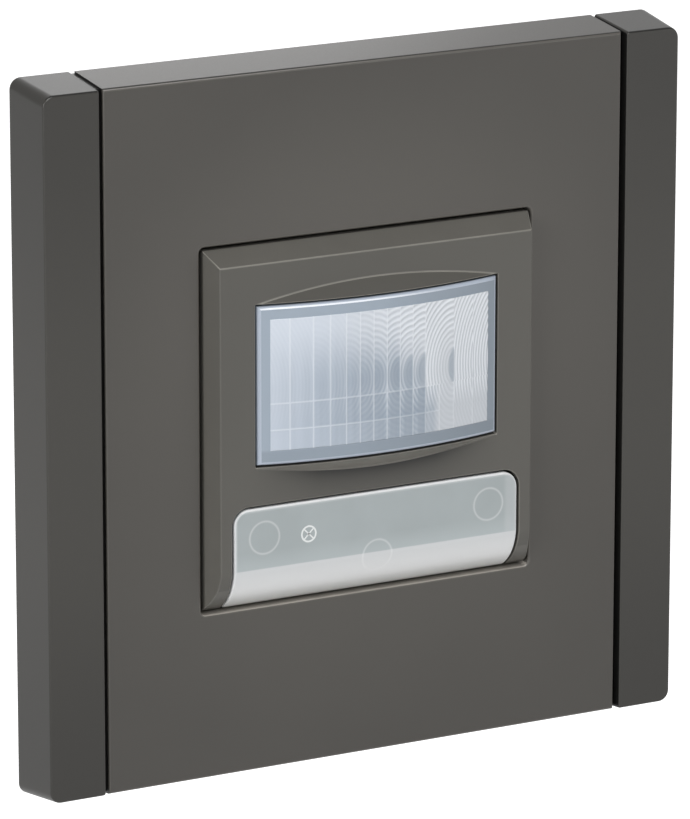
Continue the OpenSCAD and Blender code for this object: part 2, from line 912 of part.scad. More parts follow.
module housing_screws() {
    head_seat = housing_back - housing_head_h - housing_head_sink;
    tip = deck_back + bite + fit_gap;
    cross_floor = head_seat + housing_head_h - screw_slot_depth;
    cross_reach = housing_head_r * 0.65;
    color([0.72, 0.73, 0.75])
        at_corners(housing_screw_xz, housing_screw_xz)
            difference() {
                union() {
                    rod_y(0, 0, housing_screw_r, tip, head_seat + bite);
                    rod_y(0, 0, housing_head_r, head_seat, head_seat + housing_head_h);
                }
                for (turn = [0, 90])
                    rotate([0, turn, 0])
                        box(
                            [-cross_reach, cross_floor, -screw_slot_w / 2],
                            [cross_reach, housing_back + cut, screw_slot_w / 2]
                        );
            }
}

module sensor_board() {
    color([0.10, 0.32, 0.16])
        difference() {
            slab_y(board_front, board_back)
                octagon(board_w, board_chamfer);
            at_corners(housing_screw_xz, housing_screw_xz)
                rod_y(0, 0, housing_screw_r + fit_gap, board_front - cut, board_back + cut);
            at_pir_leads()
                rod_y(0, 0, lead_hole_r, board_front - cut, board_back + cut);
        }
}

// Three leads on a circle round the motion sensor's axis
module at_pir_leads() {
    for (turn = [0, 90, 180])
        translate([pir_lead_circle * cos(turn), 0, lens_z - pir_lead_circle * sin(turn)])
            children();
}

module pir_sensor_can() {
    front = board_front - pir_h;
    color([0.74, 0.75, 0.76])
        difference() {
            union() {
                rod_y(0, lens_z, pir_r, front, board_front);
                rod_y(0, lens_z, pir_flange_r, board_front - pir_flange_t, board_front);
            }
            pir_window_box(front - cut, front + pir_window_t, 0);
        }
}

module pir_window_box(front, back, inset) {
    box(
        [inset - pir_window_w / 2, front, lens_z - pir_window_h / 2 + inset],
        [pir_window_w / 2 - inset, back, lens_z + pir_window_h / 2 - inset]
    );
}

module pir_filter_window() {
    front = board_front - pir_h;
    color([0.10, 0.09, 0.10])
        pir_window_box(front + running_gap, front + pir_window_t, running_gap);
}

module pir_sensor_leads() {
    color([0.83, 0.80, 0.70])
        at_pir_leads()
            rod_y(0, 0, pir_lead_r, board_front, board_back + pir_lead_len);
}

// Clear lamp body with a round nose towards the front
module dome(x, z, r, front, back) {
    rod_y(x, z, r, front + r, back);
    intersection() {
        translate([x, front + r, z])
            sphere(r = r);
        box([x - r, front, z - r], [x + r, front + r + bite / 2, z + r]);
    }
}

module light_sensor() {
    color([0.16, 0.16, 0.18])
        dome(light_x, light_z, light_r, board_front - light_len, board_front);
}

module indicator_led() {
    color([0.85, 0.86, 0.88]) {
        dome(led_x, led_z, led_r, board_front - led_len, board_front);
        rod_y(led_x, led_z, led_rim_r, board_front - led_rim_t, board_front);
    }
}

module tact_switch_body() {
    front = board_front - tact_h;
    half = tact_w / 2;
    bore_depth = plunger_in + key_travel + 0.3;
    color([0.15, 0.15, 0.16])
        difference() {
            box([-half, front, plunger_z - half], [half, board_front, plunger_z + half]);
            rod_y(0, plunger_z, plunger_r + running_gap, front - cut, front + bore_depth);
        }
}

module tact_plunger() {
    color([0.75, 0.22, 0.16])
        rod_y(0, plunger_z, plunger_r, plunger_front, board_front - tact_h + plunger_in);
}

module trimmer_base(x) {
    front = board_front - trimmer_base_h;
    half = trimmer_w / 2;
    color([0.13, 0.26, 0.52])
        difference() {
            box([x - half, front, trimmer_z - half], [x + half, board_front, trimmer_z + half]);
            rod_y(x, trimmer_z, dial_stem_r + running_gap, front - cut, front + dial_stem_len + fit_gap);
        }
}

module trimmer_dial(x) {
    back = board_front - trimmer_base_h - running_gap;
    front = back - dial_t;
    color([0.90, 0.90, 0.88])
        difference() {
            union() {
                rod_y(x, trimmer_z, dial_r, front, back);
                rod_y(x, trimmer_z, dial_stem_r, back - bite, back + dial_stem_len);
            }
            box(
                [x - dial_slot_w / 2, front - cut, trimmer_z - dial_r * 0.55],
                [x + dial_slot_w / 2, front + dial_slot_depth, trimmer_z + dial_r + cut]
            );
        }
}

module time_trimmer_base() {
    trimmer_base(-trimmer_x);
}

module time_trimmer_dial() {
    trimmer_dial(-trimmer_x);
}

module lux_trimmer_base() {
    trimmer_base(trimmer_x);
}

module lux_trimmer_dial() {
    trimmer_dial(trimmer_x);
}

module control_chip() {
    pitch = chip_w / chip_leads;
    color([0.13, 0.13, 0.14]) {
        box(
            [chip_x - chip_w / 2, board_front - chip_t, chip_z - chip_h / 2],
            [chip_x + chip_w / 2, board_front - chip_lead_t / 2, chip_z + chip_h / 2]
        );
        for (i = [0:chip_leads - 1])
            translate([chip_x + (i - (chip_leads - 1) / 2) * pitch, 0, chip_z])
                box(
                    [-chip_lead_w / 2, board_front - chip_lead_t, -chip_h / 2 - chip_lead_reach],
                    [chip_lead_w / 2, board_front, chip_h / 2 + chip_lead_reach]
                );
    }
}

module board_header() {
    length = header_pins * header_pitch;
    block_back = board_back + header_block;
    color([0.12, 0.12, 0.13]) {
        box(
            [header_x - header_block / 2, board_back, -length / 2],
            [header_x + header_block / 2, block_back, length / 2]
        );
        for (i = [0:header_pins - 1])
            translate([header_x, 0, (i - (header_pins - 1) / 2) * header_pitch])
                box(
                    [-header_pin_w / 2, block_back - bite, -header_pin_w / 2],
                    [header_pin_w / 2, power_front, header_pin_w / 2]
                );
    }
}

module power_board() {
    color([0.55, 0.42, 0.20])
        difference() {
            slab_y(power_front, power_back)
                octagon(board_w, board_chamfer);
            at_corners(housing_screw_xz, housing_screw_xz)
                rod_y(0, 0, boss_r + fit_gap, power_front - cut, power_back + cut);
        }
}

module relay() {
    half = relay_w / 2;
    low = relay_z - relay_depth / 2;
    high = relay_z + relay_depth / 2;
    color([0.16, 0.16, 0.18]) {
        box([-half, board_back + relay_clear, low], [half, power_front, high]);
        box(
            [-half - relay_base_lip, power_front - relay_base_t, low - relay_base_lip],
            [half + relay_base_lip, power_front, high + relay_base_lip]
        );
    }
}

module film_capacitor() {
    color([0.62, 0.16, 0.12])
        box(
            [film_x - film_w / 2, board_back + film_clear, film_z - film_depth / 2],
            [film_x + film_w / 2, power_front, film_z + film_depth / 2]
        );
}

// Round can with a crimped groove near the board
module electrolytic_capacitor() {
    length = parts_room - can_clear;
    groove_at = 2;
    color([0.15, 0.18, 0.32])
        translate([can_x, power_front, can_z])
            rotate([90, 0, 0])
                rotate_extrude()
                    polygon([
                        [0, 0],
                        [can_r, 0],
                        [can_r, groove_at - can_groove],
                        [can_r - can_groove, groove_at],
                        [can_r, groove_at + can_groove],
                        [can_r, length - can_groove],
                        [can_r - can_groove, length],
                        [0, length]
                    ]);
}

module wire_legs(x, z, spread) {
    for (side = [-1, 1])
        rod_y(x + side * spread, z, wire_leg_r, power_front - wire_leg_len - bite, power_front);
}

module varistor() {
    color([0.12, 0.30, 0.55]) {
        translate([varistor_x, power_front - wire_leg_len - varistor_r + bite, varistor_z - varistor_t / 2])
            cylinder(r = varistor_r, h = varistor_t);
        wire_legs(varistor_x, varistor_z, varistor_r * 0.4);
    }
}

module fuse() {
    color([0.20, 0.20, 0.21]) {
        rod_y(fuse_x, fuse_z, fuse_r, power_front - wire_leg_len - fuse_h, power_front - wire_leg_len);
        wire_legs(fuse_x, fuse_z, fuse_r * 0.6);
    }
}

// Brass pillar with a wire entry at the back and a clamping screw from below
module terminal(x) {
    color([0.80, 0.66, 0.36])
        difference() {
            box(
                [x - terminal_w / 2, power_back, terminal_top - terminal_h],
                [x + terminal_w / 2, floor_front, terminal_top]
            );
            rod_y(x, wire_z, wire_r, floor_front - wire_depth, floor_front + cut);
            translate([x, terminal_screw_y, terminal_top - terminal_h - cut])
                cylinder(r = terminal_screw_r + running_gap, h = wire_z - terminal_top + terminal_h + cut);
        }
}

module live_terminal() {
    terminal(-terminal_pitch);
}

module neutral_terminal() {
    terminal(0);
}

module load_terminal() {
    terminal(terminal_pitch);
}

module terminal_shroud() {
    color([0.86, 0.86, 0.83])
        difference() {
            box(
                [-shroud_hw, power_back, terminal_top - terminal_h],
                [shroud_hw, floor_front, terminal_top + shroud_wall]
            );
            for (x = [-terminal_pitch, 0, terminal_pitch])
                box(
                    [x - terminal_w / 2 - fit_gap, power_back - cut, terminal_top - terminal_h - cut],
                    [x + terminal_w / 2 + fit_gap, floor_front + cut, terminal_top + fit_gap]
                );
        }
}

module terminal_screws() {
    pillar_foot = terminal_top - terminal_h;
    head_top = pillar_foot - terminal_head_gap;
    head_foot = head_top - terminal_head_h;
    tip = wire_z - wire_r - fit_gap;
    color([0.72, 0.73, 0.75])
        for (x = [-terminal_pitch, 0, terminal_pitch])
            translate([x, terminal_screw_y, 0])
                difference() {
                    union() {
                        translate([0, 0, head_foot])
                            cylinder(r = terminal_head_r, h = terminal_head_h);
                        translate([0, 0, head_top - bite])
                            cylinder(r = terminal_screw_r, h = tip - head_top + bite);
                    }
                    box(
                        [-terminal_head_r - cut, -screw_slot_w / 2, head_foot - cut],
                        [terminal_head_r + cut, screw_slot_w / 2, head_foot + screw_slot_depth]
                    );
                }
}

left_trim_bar();
right_trim_bar();
cover_plate();
frame_carrier();
sensor_bezel();
fresnel_lens();
lens_retainer();
push_key();
key_spring_left();
key_spring_right();
sensor_chassis();
yoke_screws();
mounting_yoke();
rear_housing();
housing_screws();
sensor_board();
pir_sensor_can();
pir_filter_window();
pir_sensor_leads();
light_sensor();
indicator_led();
tact_switch_body();
tact_plunger();
time_trimmer_base();
time_trimmer_dial();
lux_trimmer_base();
lux_trimmer_dial();
control_chip();
board_header();
power_board();
relay();
film_capacitor();
electrolytic_capacitor();
varistor();
fuse();
live_terminal();
neutral_terminal();
load_terminal();
terminal_shroud();
terminal_screws();
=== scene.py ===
from contextlib import contextmanager
import json
import math

import bmesh
import bpy
from mathutils import Matrix, Vector


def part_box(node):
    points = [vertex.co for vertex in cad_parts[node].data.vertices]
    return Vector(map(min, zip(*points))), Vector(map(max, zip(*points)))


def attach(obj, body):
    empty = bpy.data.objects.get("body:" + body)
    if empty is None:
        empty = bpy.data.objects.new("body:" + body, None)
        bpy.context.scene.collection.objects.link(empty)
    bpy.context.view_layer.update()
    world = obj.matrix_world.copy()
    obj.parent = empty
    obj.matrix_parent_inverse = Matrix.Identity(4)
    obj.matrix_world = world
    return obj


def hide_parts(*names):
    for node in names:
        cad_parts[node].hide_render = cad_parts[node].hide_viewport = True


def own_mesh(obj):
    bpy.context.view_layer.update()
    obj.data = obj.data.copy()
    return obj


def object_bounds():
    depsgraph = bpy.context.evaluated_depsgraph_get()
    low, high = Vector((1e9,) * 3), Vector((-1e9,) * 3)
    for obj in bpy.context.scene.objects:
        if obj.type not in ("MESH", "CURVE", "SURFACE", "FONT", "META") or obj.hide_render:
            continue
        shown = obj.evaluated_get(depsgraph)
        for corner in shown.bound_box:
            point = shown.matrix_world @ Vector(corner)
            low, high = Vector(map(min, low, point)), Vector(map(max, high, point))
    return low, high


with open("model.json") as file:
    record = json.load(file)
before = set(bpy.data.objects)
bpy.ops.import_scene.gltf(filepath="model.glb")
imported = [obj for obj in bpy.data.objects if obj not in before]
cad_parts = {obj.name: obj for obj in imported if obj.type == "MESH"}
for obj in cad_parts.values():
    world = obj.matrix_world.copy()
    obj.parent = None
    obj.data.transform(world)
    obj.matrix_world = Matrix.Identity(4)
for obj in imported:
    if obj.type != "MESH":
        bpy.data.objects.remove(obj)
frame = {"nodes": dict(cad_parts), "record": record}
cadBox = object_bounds()
mm = 0.001
nodes = frame["nodes"]
scene = bpy.context.scene
print("frame loaded:", len(nodes), "nodes")


# Nodes and links

def treeOf(*values):
    # the node tree of the sockets among some values
    return next(value.id_data for value in values if isinstance(value, bpy.types.NodeSocket))


def feed(socket, value):
    if isinstance(value, bpy.types.NodeSocket):
        socket.id_data.links.new(value, socket)
    elif socket.type == "RGBA":
        socket.default_value = tuple(value) + (1.0,)
    else:
        socket.default_value = value


def feedAll(sockets, values):
    for key, value in values.items():
        feed(sockets[key], value)


def newNode(tree, kind, values=None, **settings):
    node = tree.nodes.new(kind)
    for key, value in settings.items():
        setattr(node, key, value)
    feedAll(node.inputs, values or {})
    return node


def groupNode(tree, group, values):
    return newNode(tree, "ShaderNodeGroup", values, node_tree=group).outputs


def openTree(kind, name, inputs, *outputs):
    # a node tree whose inputs have names and first values
    inputKinds = {float: "NodeSocketFloat", int: "NodeSocketInt", tuple: "NodeSocketColor"}
    outputKinds = {"Color": "NodeSocketColor", "Geometry": "NodeSocketGeometry"}
    tree = bpy.data.node_groups.new(name, kind)
    for label, value in inputs.items():
        socket = tree.interface.new_socket(label, in_out="INPUT", socket_type=inputKinds[type(value)])
        socket.default_value = value
    for label in outputs:
        socketKind = outputKinds.get(label, "NodeSocketFloat")
        tree.interface.new_socket(label, in_out="OUTPUT", socket_type=socketKind)
    return tree, newNode(tree, "NodeGroupInput").outputs, newNode(tree, "NodeGroupOutput").inputs


def mathNode(operation, *values, clamp=False):
    inputs = dict(enumerate(values))
    return newNode(treeOf(*values), "ShaderNodeMath", inputs, operation=operation, use_clamp=clamp).outputs[0]


def times(product, *factors):
    for factor in factors:
        product = mathNode("MULTIPLY", product, factor)
    return product


def pairMath(operation):
    return lambda first, second: mathNode(operation, first, second)


plus, minus, over = pairMath("ADD"), pairMath("SUBTRACT"), pairMath("DIVIDE")
above, below = pairMath("GREATER_THAN"), pairMath("LESS_THAN")


def gapTo(value, place):
    return mathNode("ABSOLUTE", minus(value, place))


def reachOf(first, second):
    # distance over two axes
    return mathNode("SQRT", plus(times(first, first), times(second, second)))


def rangeNode(value, low, high, newLow=0.0, newHigh=1.0, smooth=False):
    inputs = dict(enumerate((value, low, high, newLow, newHigh)))
    shape = "SMOOTHSTEP" if smooth else "LINEAR"
    return newNode(treeOf(value), "ShaderNodeMapRange", inputs, interpolation_type=shape).outputs[0]


def fade(place, span, levels=(0.0, 1.0), smooth=False):
    # level that changes over a stretch in mm
    return rangeNode(place, span[0] * mm, span[1] * mm, *levels, smooth=smooth)


def mixColor(factor, first, second, blend="MIX"):
    tree = treeOf(factor, first, second)
    inputs = {0: factor, 6: first, 7: second}
    return newNode(tree, "ShaderNodeMix", inputs, data_type="RGBA", blend_type=blend).outputs[2]


def noiseNode(point, scale, detail=2.0):
    inputs = {"Vector": point, "Scale": scale, "Detail": detail}
    return newNode(treeOf(point), "ShaderNodeTexNoise", inputs).outputs[0]


def attributeNode(tree, label):
    return newNode(tree, "ShaderNodeAttribute", attribute_name=label).outputs["Fac"]


def splitAxes(vector):
    return newNode(treeOf(vector), "ShaderNodeSeparateXYZ", {0: vector}).outputs


def joinAxes(x, y, z):
    return newNode(treeOf(x, y, z), "ShaderNodeCombineXYZ", {0: x, 1: y, 2: z}).outputs[0]


def objectPoint(tree):
    return newNode(tree, "ShaderNodeTexCoord").outputs["Object"]


def objectAxes(tree):
    return splitAxes(objectPoint(tree))


def stretchedPoint(tree, scale):
    return newNode(tree, "ShaderNodeMapping", {"Vector": objectPoint(tree), "Scale": scale}).outputs[0]


# Shared surface effects

grainSet = {"driftDetail": 3.0, "driftSpan": (0.3, 0.7), "speckleSpan": (0.35, 0.65)}
edgeLightAndShadeSet = {
    "patchScale": 260.0, "patchSpan": (0.3, 0.7), "patchLevels": (0.72, 0.9),
    "paintedShade": 0.85, "shadeTone": (0.006, 0.006, 0.006),
}
brushSet = {"stretch": (0.04, 1.0, 1.0), "blotchSpan": (0.1, 0.7), "streakSpan": (0.35, 0.65)}


def makeGrainGroup(look):
    # spark-eroded mould grain with a slow drift of tone under it
    inputs = {"Grain Scale": 4000.0, "Drift Scale": 30.0}
    tree, given, result = openTree("ShaderNodeTree", "mouldGrain", inputs, "Height", "Drift", "Speckle")
    grain = noiseNode(objectPoint(tree), given["Grain Scale"])
    drift = noiseNode(objectPoint(tree), given["Drift Scale"], look["driftDetail"])
    feedAll(result, {
        "Height": grain,
        "Drift": rangeNode(drift, *look["driftSpan"]),
        "Speckle": rangeNode(grain, *look["speckleSpan"]),
    })
    return tree


def makeWearAndHighlightGroup(look):
    # edges painted lighter as a painted highlight with a little wear, and marked places painted dark as shade
    inputs = {"Color": (0.5, 0.5, 0.5, 1), "Worn And Lit": (0.6, 0.6, 0.6, 1)}
    tree, given, result = openTree("ShaderNodeTree", "wornAndLitEdge", inputs, "Color")
    noise = noiseNode(objectPoint(tree), look["patchScale"])
    patches = rangeNode(noise, *look["patchSpan"], *look["patchLevels"])
    wornAndLit = times(attributeNode(tree, "edgeWearAndHighlight"), patches)
    wornLitColor = mixColor(wornAndLit, given["Color"], given["Worn And Lit"])
    # marked places are painted dark as shade
    paintedShade = times(attributeNode(tree, "paintedShade"), look["paintedShade"])
    feed(result["Color"], mixColor(paintedShade, wornLitColor, look["shadeTone"]))
    return tree


def makeBrushGroup(look):
    # rolled sheet: fine streaks along one axis and zinc-like blotches
    inputs = {"Streak Scale": 900.0, "Blotch Scale": 160.0}
    tree, given, result = openTree("ShaderNodeTree", "rolledMetal", inputs, "Height", "Blotch", "Streak")
    streak = noiseNode(stretchedPoint(tree, look["stretch"]), given["Streak Scale"])
    values = {"Vector": objectPoint(tree), "Scale": given["Blotch Scale"]}
    blotch = newNode(tree, "ShaderNodeTexVoronoi", values, feature="SMOOTH_F1").outputs["Distance"]
    feedAll(result, {
        "Height": streak,
        "Blotch": rangeNode(blotch, *look["blotchSpan"]),
        "Streak": rangeNode(streak, *look["streakSpan"]),
    })
    return tree


grainGroup = makeGrainGroup(grainSet)
wearAndHighlightGroup = makeWearAndHighlightGroup(edgeLightAndShadeSet)
brushGroup = makeBrushGroup(brushSet)


def grainOf(tree, look):
    return groupNode(tree, grainGroup, {"Grain Scale": look["grain"], "Drift Scale": look["drift"]})


def startMaterial(name):
    material = bpy.data.materials.new(name)
    material.use_nodes = True
    tree = material.node_tree
    return material, tree, tree.nodes["Principled BSDF"].inputs


def dressSurface(sockets, look, color, mask, height):
    # colour, roughness that varies round a mean, and a fine relief
    low, high = look["rough"] - look["uneven"], look["rough"] + look["uneven"]
    values = {"Strength": 1.0, "Distance": look["depth"] * mm, "Height": height}
    feedAll(sockets, {
        "Base Color": color,
        "Roughness": rangeNode(mask, 0, 1, low, high),
        "Normal": newNode(treeOf(height), "ShaderNodeBump", values).outputs[0],
    })


def scaled(color, factor):
    return tuple(min(c * factor, 1.0) for c in color)


# Plastic finishes: one entry for each plastic slot of the record, and the print on the key

plasticBase = {"drift": 30.0, "spread": 0.06, "wornAndLit": 1.5, "uneven": 0.04, "coat": 0.0, "depth": 0.004}
frontBase = {"grain": 5200, "uneven": 0.015, "depth": 0.0005}
plasticLooks = {
    "trim_plastic": {
        **frontBase, "color": (0.0325, 0.0308, 0.0271), "rough": 0.30, "wornAndLit": 1.3,
        "paintedSheen": {"span": (8, 40), "across": 0.0, "rise": (-10, 24), "low": 1.0, "tint": 1.4},
    },
    "plate_plastic": {
        **frontBase, "color": (0.0600, 0.0560, 0.0500), "rough": 0.30, "wornAndLit": 5.5,
        "paintedSheen": {"span": (21, 47), "across": 1.0, "rise": (-10, 24), "low": 0.45, "tint": 1.45},
    },
    "bezel_plastic": {
        **frontBase, "color": (0.0900, 0.0862, 0.0765), "rough": 0.34, "wornAndLit": 3.4,
        "lip": {"edge": -6.25, "bow": 0.0075, "shade": 0.92, "reach": 1.9, "side": (8, 17)},
    },
    "carrier_plastic": {"color": (0.27, 0.27, 0.26), "rough": 0.50, "grain": 3600, "depth": 0.008},
    "black_plastic": {"color": (0.018, 0.018, 0.020), "rough": 0.45, "grain": 3600},
    "chassis_plastic": {"color": (0.70, 0.70, 0.67), "rough": 0.50, "grain": 3600},
    "housing_plastic": {
        "color": (0.72, 0.71, 0.66), "rough": 0.52, "grain": 3200, "depth": 0.010,
        "parting": {"depth": 16, "span": (0.05, 0.16), "height": 6.0},
    },
    "filter_dark": {"color": (0.014, 0.012, 0.014), "rough": 0.12, "grain": 6000},
    "smoke_resin": {"color": (0.020, 0.020, 0.024), "rough": 0.08, "grain": 6000, "coat": 0.6},
    "clear_resin": {"color": (0.72, 0.74, 0.78), "rough": 0.10, "grain": 6000, "coat": 0.6},
    "plunger_red": {"color": (0.52, 0.055, 0.032), "rough": 0.40, "grain": 4000},
    "trimmer_blue": {"color": (0.020, 0.085, 0.33), "rough": 0.42, "grain": 4000},
    "dial_white": {"color": (0.78, 0.78, 0.74), "rough": 0.45, "grain": 4000},
    "film_red": {"color": (0.36, 0.026, 0.018), "rough": 0.28, "grain": 1800, "coat": 0.4},
    "sleeve_blue": {"color": (0.020, 0.028, 0.085), "rough": 0.25, "grain": 1800, "coat": 0.5},
    "disc_blue": {"color": (0.015, 0.075, 0.27), "rough": 0.36, "grain": 1500, "depth": 0.02},
    "fuse_grey": {"color": (0.035, 0.035, 0.038), "rough": 0.40, "grain": 3000},
    "sign_print": {"color": (0.72, 0.74, 0.74), "rough": 0.5, "grain": 4000},
}


def paintedSheenMiddle(base, color, sheen):
    # painted sheen: the middle of the front is painted lighter than its border, standing in for a soft lamp's
    # reflection
    x, _, z = objectAxes(treeOf(base))
    off = reachOf(times(x, sheen["across"]), z)
    share = fade(off, sheen["span"], (1.0, 0.0), smooth=True)
    share = times(share, fade(z, sheen["rise"], (sheen["low"], 1.0)))
    return mixColor(share, base, scaled(color, sheen["tint"]))


def underLip(base, lip):
    # soft shade on the front under the bowed lip, strongest at its edge
    x, _, z = objectAxes(treeOf(base))
    edge = plus(times(x, x, lip["bow"] / mm), lip["edge"] * mm)
    drop = minus(edge, z)
    soft = mathNode("EXPONENT", times(drop, -1 / (lip["reach"] * mm)))
    side = fade(mathNode("ABSOLUTE", x), lip["side"], (lip["shade"], 0.0))
    return mixColor(times(soft, above(drop, 0.0), side), base, edgeLightAndShadeSet["shadeTone"])


def flashLine(tree, line):
    # ridge where the two halves of the mould met
    off = gapTo(objectAxes(tree)[1], line["depth"] * mm)
    return fade(off, line["span"], (line["height"], 0.0), smooth=True)


def plasticFinish(name, look):
    look = {**plasticBase, **look}
    material, tree, sockets = startMaterial(name)
    grain = grainOf(tree, look)
    color, spread = look["color"], look["spread"]
    base = mixColor(grain["Drift"], scaled(color, 1 - spread), scaled(color, 1 + spread))
    if "paintedSheen" in look:
        base = paintedSheenMiddle(base, color, look["paintedSheen"])
    if "lip" in look:
        base = underLip(base, look["lip"])
    # rounded edges get a painted highlight with a little wear, marked places a painted shade
    wearAndLight = groupNode(tree, wearAndHighlightGroup, {"Color": base, "Worn And Lit": scaled(color, look["wornAndLit"])})
    height = grain["Height"]
    if "parting" in look:
        height = plus(height, flashLine(tree, look["parting"]))
    sockets["Coat Weight"].default_value = look["coat"]
    dressSurface(sockets, look, wearAndLight["Color"], grain["Speckle"], height)
    return material


# Metal finishes, one entry for each metal slot of the record

metalBase = {"cloudy": 0.09, "streakTone": (0.86, 0.86, 0.86), "wornAndLit": 1.2, "uneven": 0.06, "depth": 0.006}
metalLooks = {
    "spring_steel": {"color": (0.56, 0.57, 0.59), "rough": 0.25, "streak": 1500, "blotch": 900},
    "galvanised_steel": {
        "color": (0.47, 0.48, 0.50), "rough": 0.34, "streak": 3600, "blotch": 260,
        "cloudy": 0.05, "depth": 0.003,
    },
    "screw_steel": {"color": (0.60, 0.60, 0.62), "rough": 0.28, "streak": 1600, "blotch": 700},
    "can_metal": {"color": (0.60, 0.61, 0.62), "rough": 0.30, "streak": 1400, "blotch": 500},
    "lead_metal": {"color": (0.66, 0.62, 0.52), "rough": 0.35, "streak": 1400, "blotch": 700},
    "brass": {"color": (0.66, 0.47, 0.18), "rough": 0.30, "streak": 1300, "blotch": 420},
}


def metalFinish(name, look, recess=None):
    look = {**metalBase, **look}
    material, tree, sockets = startMaterial(name)
    values = {"Streak Scale": look["streak"], "Blotch Scale": look["blotch"]}
    brush = groupNode(tree, brushGroup, values)
    color, cloudy = look["color"], look["cloudy"]
    base = mixColor(brush["Blotch"], scaled(color, 1 + cloudy), scaled(color, 1 - cloudy))
    streak = mixColor(brush["Streak"], look["streakTone"], (1.0, 1.0, 1.0))
    base = mixColor(1.0, base, streak, blend="MULTIPLY")
    if recess:
        # painted shade at the bottom of the slots
        deep = minus(objectAxes(tree)[1], recess["top"])
        base = mixColor(fade(deep, recess["span"], (recess["share"], 0.0)), base, recess["tone"])
    # rounded edges get a painted highlight with a little wear, marked places a painted shade
    wearAndLight = groupNode(tree, wearAndHighlightGroup, {"Color": base, "Worn And Lit": scaled(color, look["wornAndLit"])})
    sockets["Metallic"].default_value = 1.0
    dressSurface(sockets, look, wearAndLight["Color"], brush["Blotch"], brush["Height"])
    return material


# Circuit boards

boardBase = {
    "grain": 1500.0, "drift": 200.0, "cloud": (0.85, 1.1), "rough": 0.34, "uneven": 0.06, "depth": 0.03,
    "lanes": {
        "Scale": 220.0, "Mortar Size": 0.028, "Mortar Smooth": 0.1, "Brick Width": 1.3, "Row Height": 0.31,
    },
    "layout": {"offset": 0.37, "squash": 0.55, "squash_frequency": 3},
}
boardLooks = {
    "board_green": {"mask": (0.012, 0.105, 0.040), "track": (0.028, 0.19, 0.075)},
    "board_tan": {"mask": (0.33, 0.22, 0.085), "track": (0.48, 0.30, 0.12)},
}


def boardFinish(name, look):
    # lacquer over copper tracks that show as lighter lines
    look = {**boardBase, **look}
    material, tree, sockets = startMaterial(name)
    x, _, z = objectAxes(tree)
    values = {"Vector": joinAxes(x, z, 0.0), **look["lanes"]}
    track = newNode(tree, "ShaderNodeTexBrick", values, **look["layout"]).outputs["Fac"]
    grain = grainOf(tree, look)
    mask = mixColor(grain["Drift"], *(scaled(look["mask"], level) for level in look["cloud"]))
    dressSurface(sockets, look, mixColor(track, mask, look["track"]), grain["Speckle"], track)
    return material


# Milky lens and key

lensLook = {
    # smooth band round the facets
    "bandLeft": (0.315, 0.37, 0.435), "bandRight": (0.235, 0.275, 0.32), "bandSpan": (-3, 16),
    "foot": (0.16, 0.19, 0.22), "footSpan": (-2.6, -2.2), "footShare": 0.35,
    "edge": (0.41, 0.46, 0.54), "edgeFrom": 0.1,
    "gleam": (0.92, 0.95, 1.0), "gleamFrom": 0.4, "gleamTo": 0.65, "gleamSpan": (-1, 9), "gleamShare": 0.85,
    # facets
    "brightLeft": (0.60, 0.65, 0.725), "brightRight": (0.61, 0.63, 0.66), "brightSpan": (-9, 7),
    "lower": (0.87, 0.885, 0.90), "lowerSpan": (5, 12.5), "shade": (0.26, 0.32, 0.395),
    "streakScale": (1100, 0, 45), "streakSpan": (0.35, 0.65), "streakShare": 0.35, "streakTone": 0.7,
    "groove": (0.44, 0.47, 0.52), "crest": (0.84, 0.87, 0.91), "pupil": (0.29, 0.34, 0.40),
    "grooveShare": 0.5, "crestShare": 0.75, "pupilShare": 0.65,
    "lineSpan": (-8, 8), "lineShares": (0.55, 0.25),
    # both
    "grain": 2500.0, "drift": 140.0, "cloud": (0.985, 1.01), "rough": 0.22, "uneven": 0.05, "depth": 0.002,
}
sensorShadow = {
    "nearSide": (-15.5, 2.6), "nearCurve": 0.8,  # deepens from the left
    "farSide": (4.2, 5.5), "farLevel": 0.08,  # ends at a column border
    "lowRows": 3.4, "lowShift": 2.05,  # which lies further out in the lower rows
    "under": (5.0, 13.5), "topLevel": 0.04,  # fades upwards
    "liftSide": (1.0, 2.6), "lift": 3.0,  # from a lower place on the right
    "paleSide": (5.2, 5.5), "pale": 0.30,  # lighter last column
    "lastRow": (0.0, 0.3), "lastLevel": 0.78,  # lighter lowest row
}
keyLook = {
    "wall": (0.355, 0.392, 0.400), "wallCloud": (0.95, 1.06),  # front wall over the hollow
    "glow": 1.17, "glowTop": -14.8,  # its lower part, lit from the roll
    "footTop": (0.585, 0.600, 0.610),  # thick lower roll at the crease
    "footLow": (0.90, 0.905, 0.905), "footEnd": -20.4,  # and at its end
    "warm": (0.50, 0.50, 0.46), "warmSpan": (-22.2, -19.4), "warmShare": 0.5,
    "rim": (0.88, 0.885, 0.885),  # lit edges
    "hollowLeft": -19.15, "hollowRight": 19.25, "hollowTop": -9.75, "soft": 0.25,
    "crease": -17.0, "creaseSoft": 0.0625, "band": (17.4, 18.15), "bandLevel": 0.75,
    "posts": ((-15.4, -13.15), (15.4, -13.15), (0.0, -17.5)),
    "ringRadius": 2.0, "ringWidth": 0.22, "ringShare": 0.28,
    "grain": 3000.0, "drift": 120.0, "rough": 0.34, "uneven": 0.05, "depth": 0.003,
}


def sensorShade(x, z, look):
    # how much of the dark chassis and sensor shows through, by column and row of facets
    nearSide = mathNode("POWER", fade(x, look["nearSide"]), look["nearCurve"])
    lowRows = below(z, look["lowRows"] * mm)
    pastFar = minus(x, times(lowRows, look["lowShift"] * mm))
    farSide = fade(pastFar, look["farSide"], (1.0, look["farLevel"]), smooth=True)
    lift = fade(x, look["liftSide"], (0.0, look["lift"] * mm))
    under = fade(plus(z, lift), look["under"], (1.0, look["topLevel"]), smooth=True)
    pale = times(lowRows, fade(x, look["paleSide"], (0.0, look["pale"])))
    lastRow = fade(z, look["lastRow"], (look["lastLevel"], 1.0))
    return times(nearSide, farSide, under, minus(1.0, pale), lastRow)


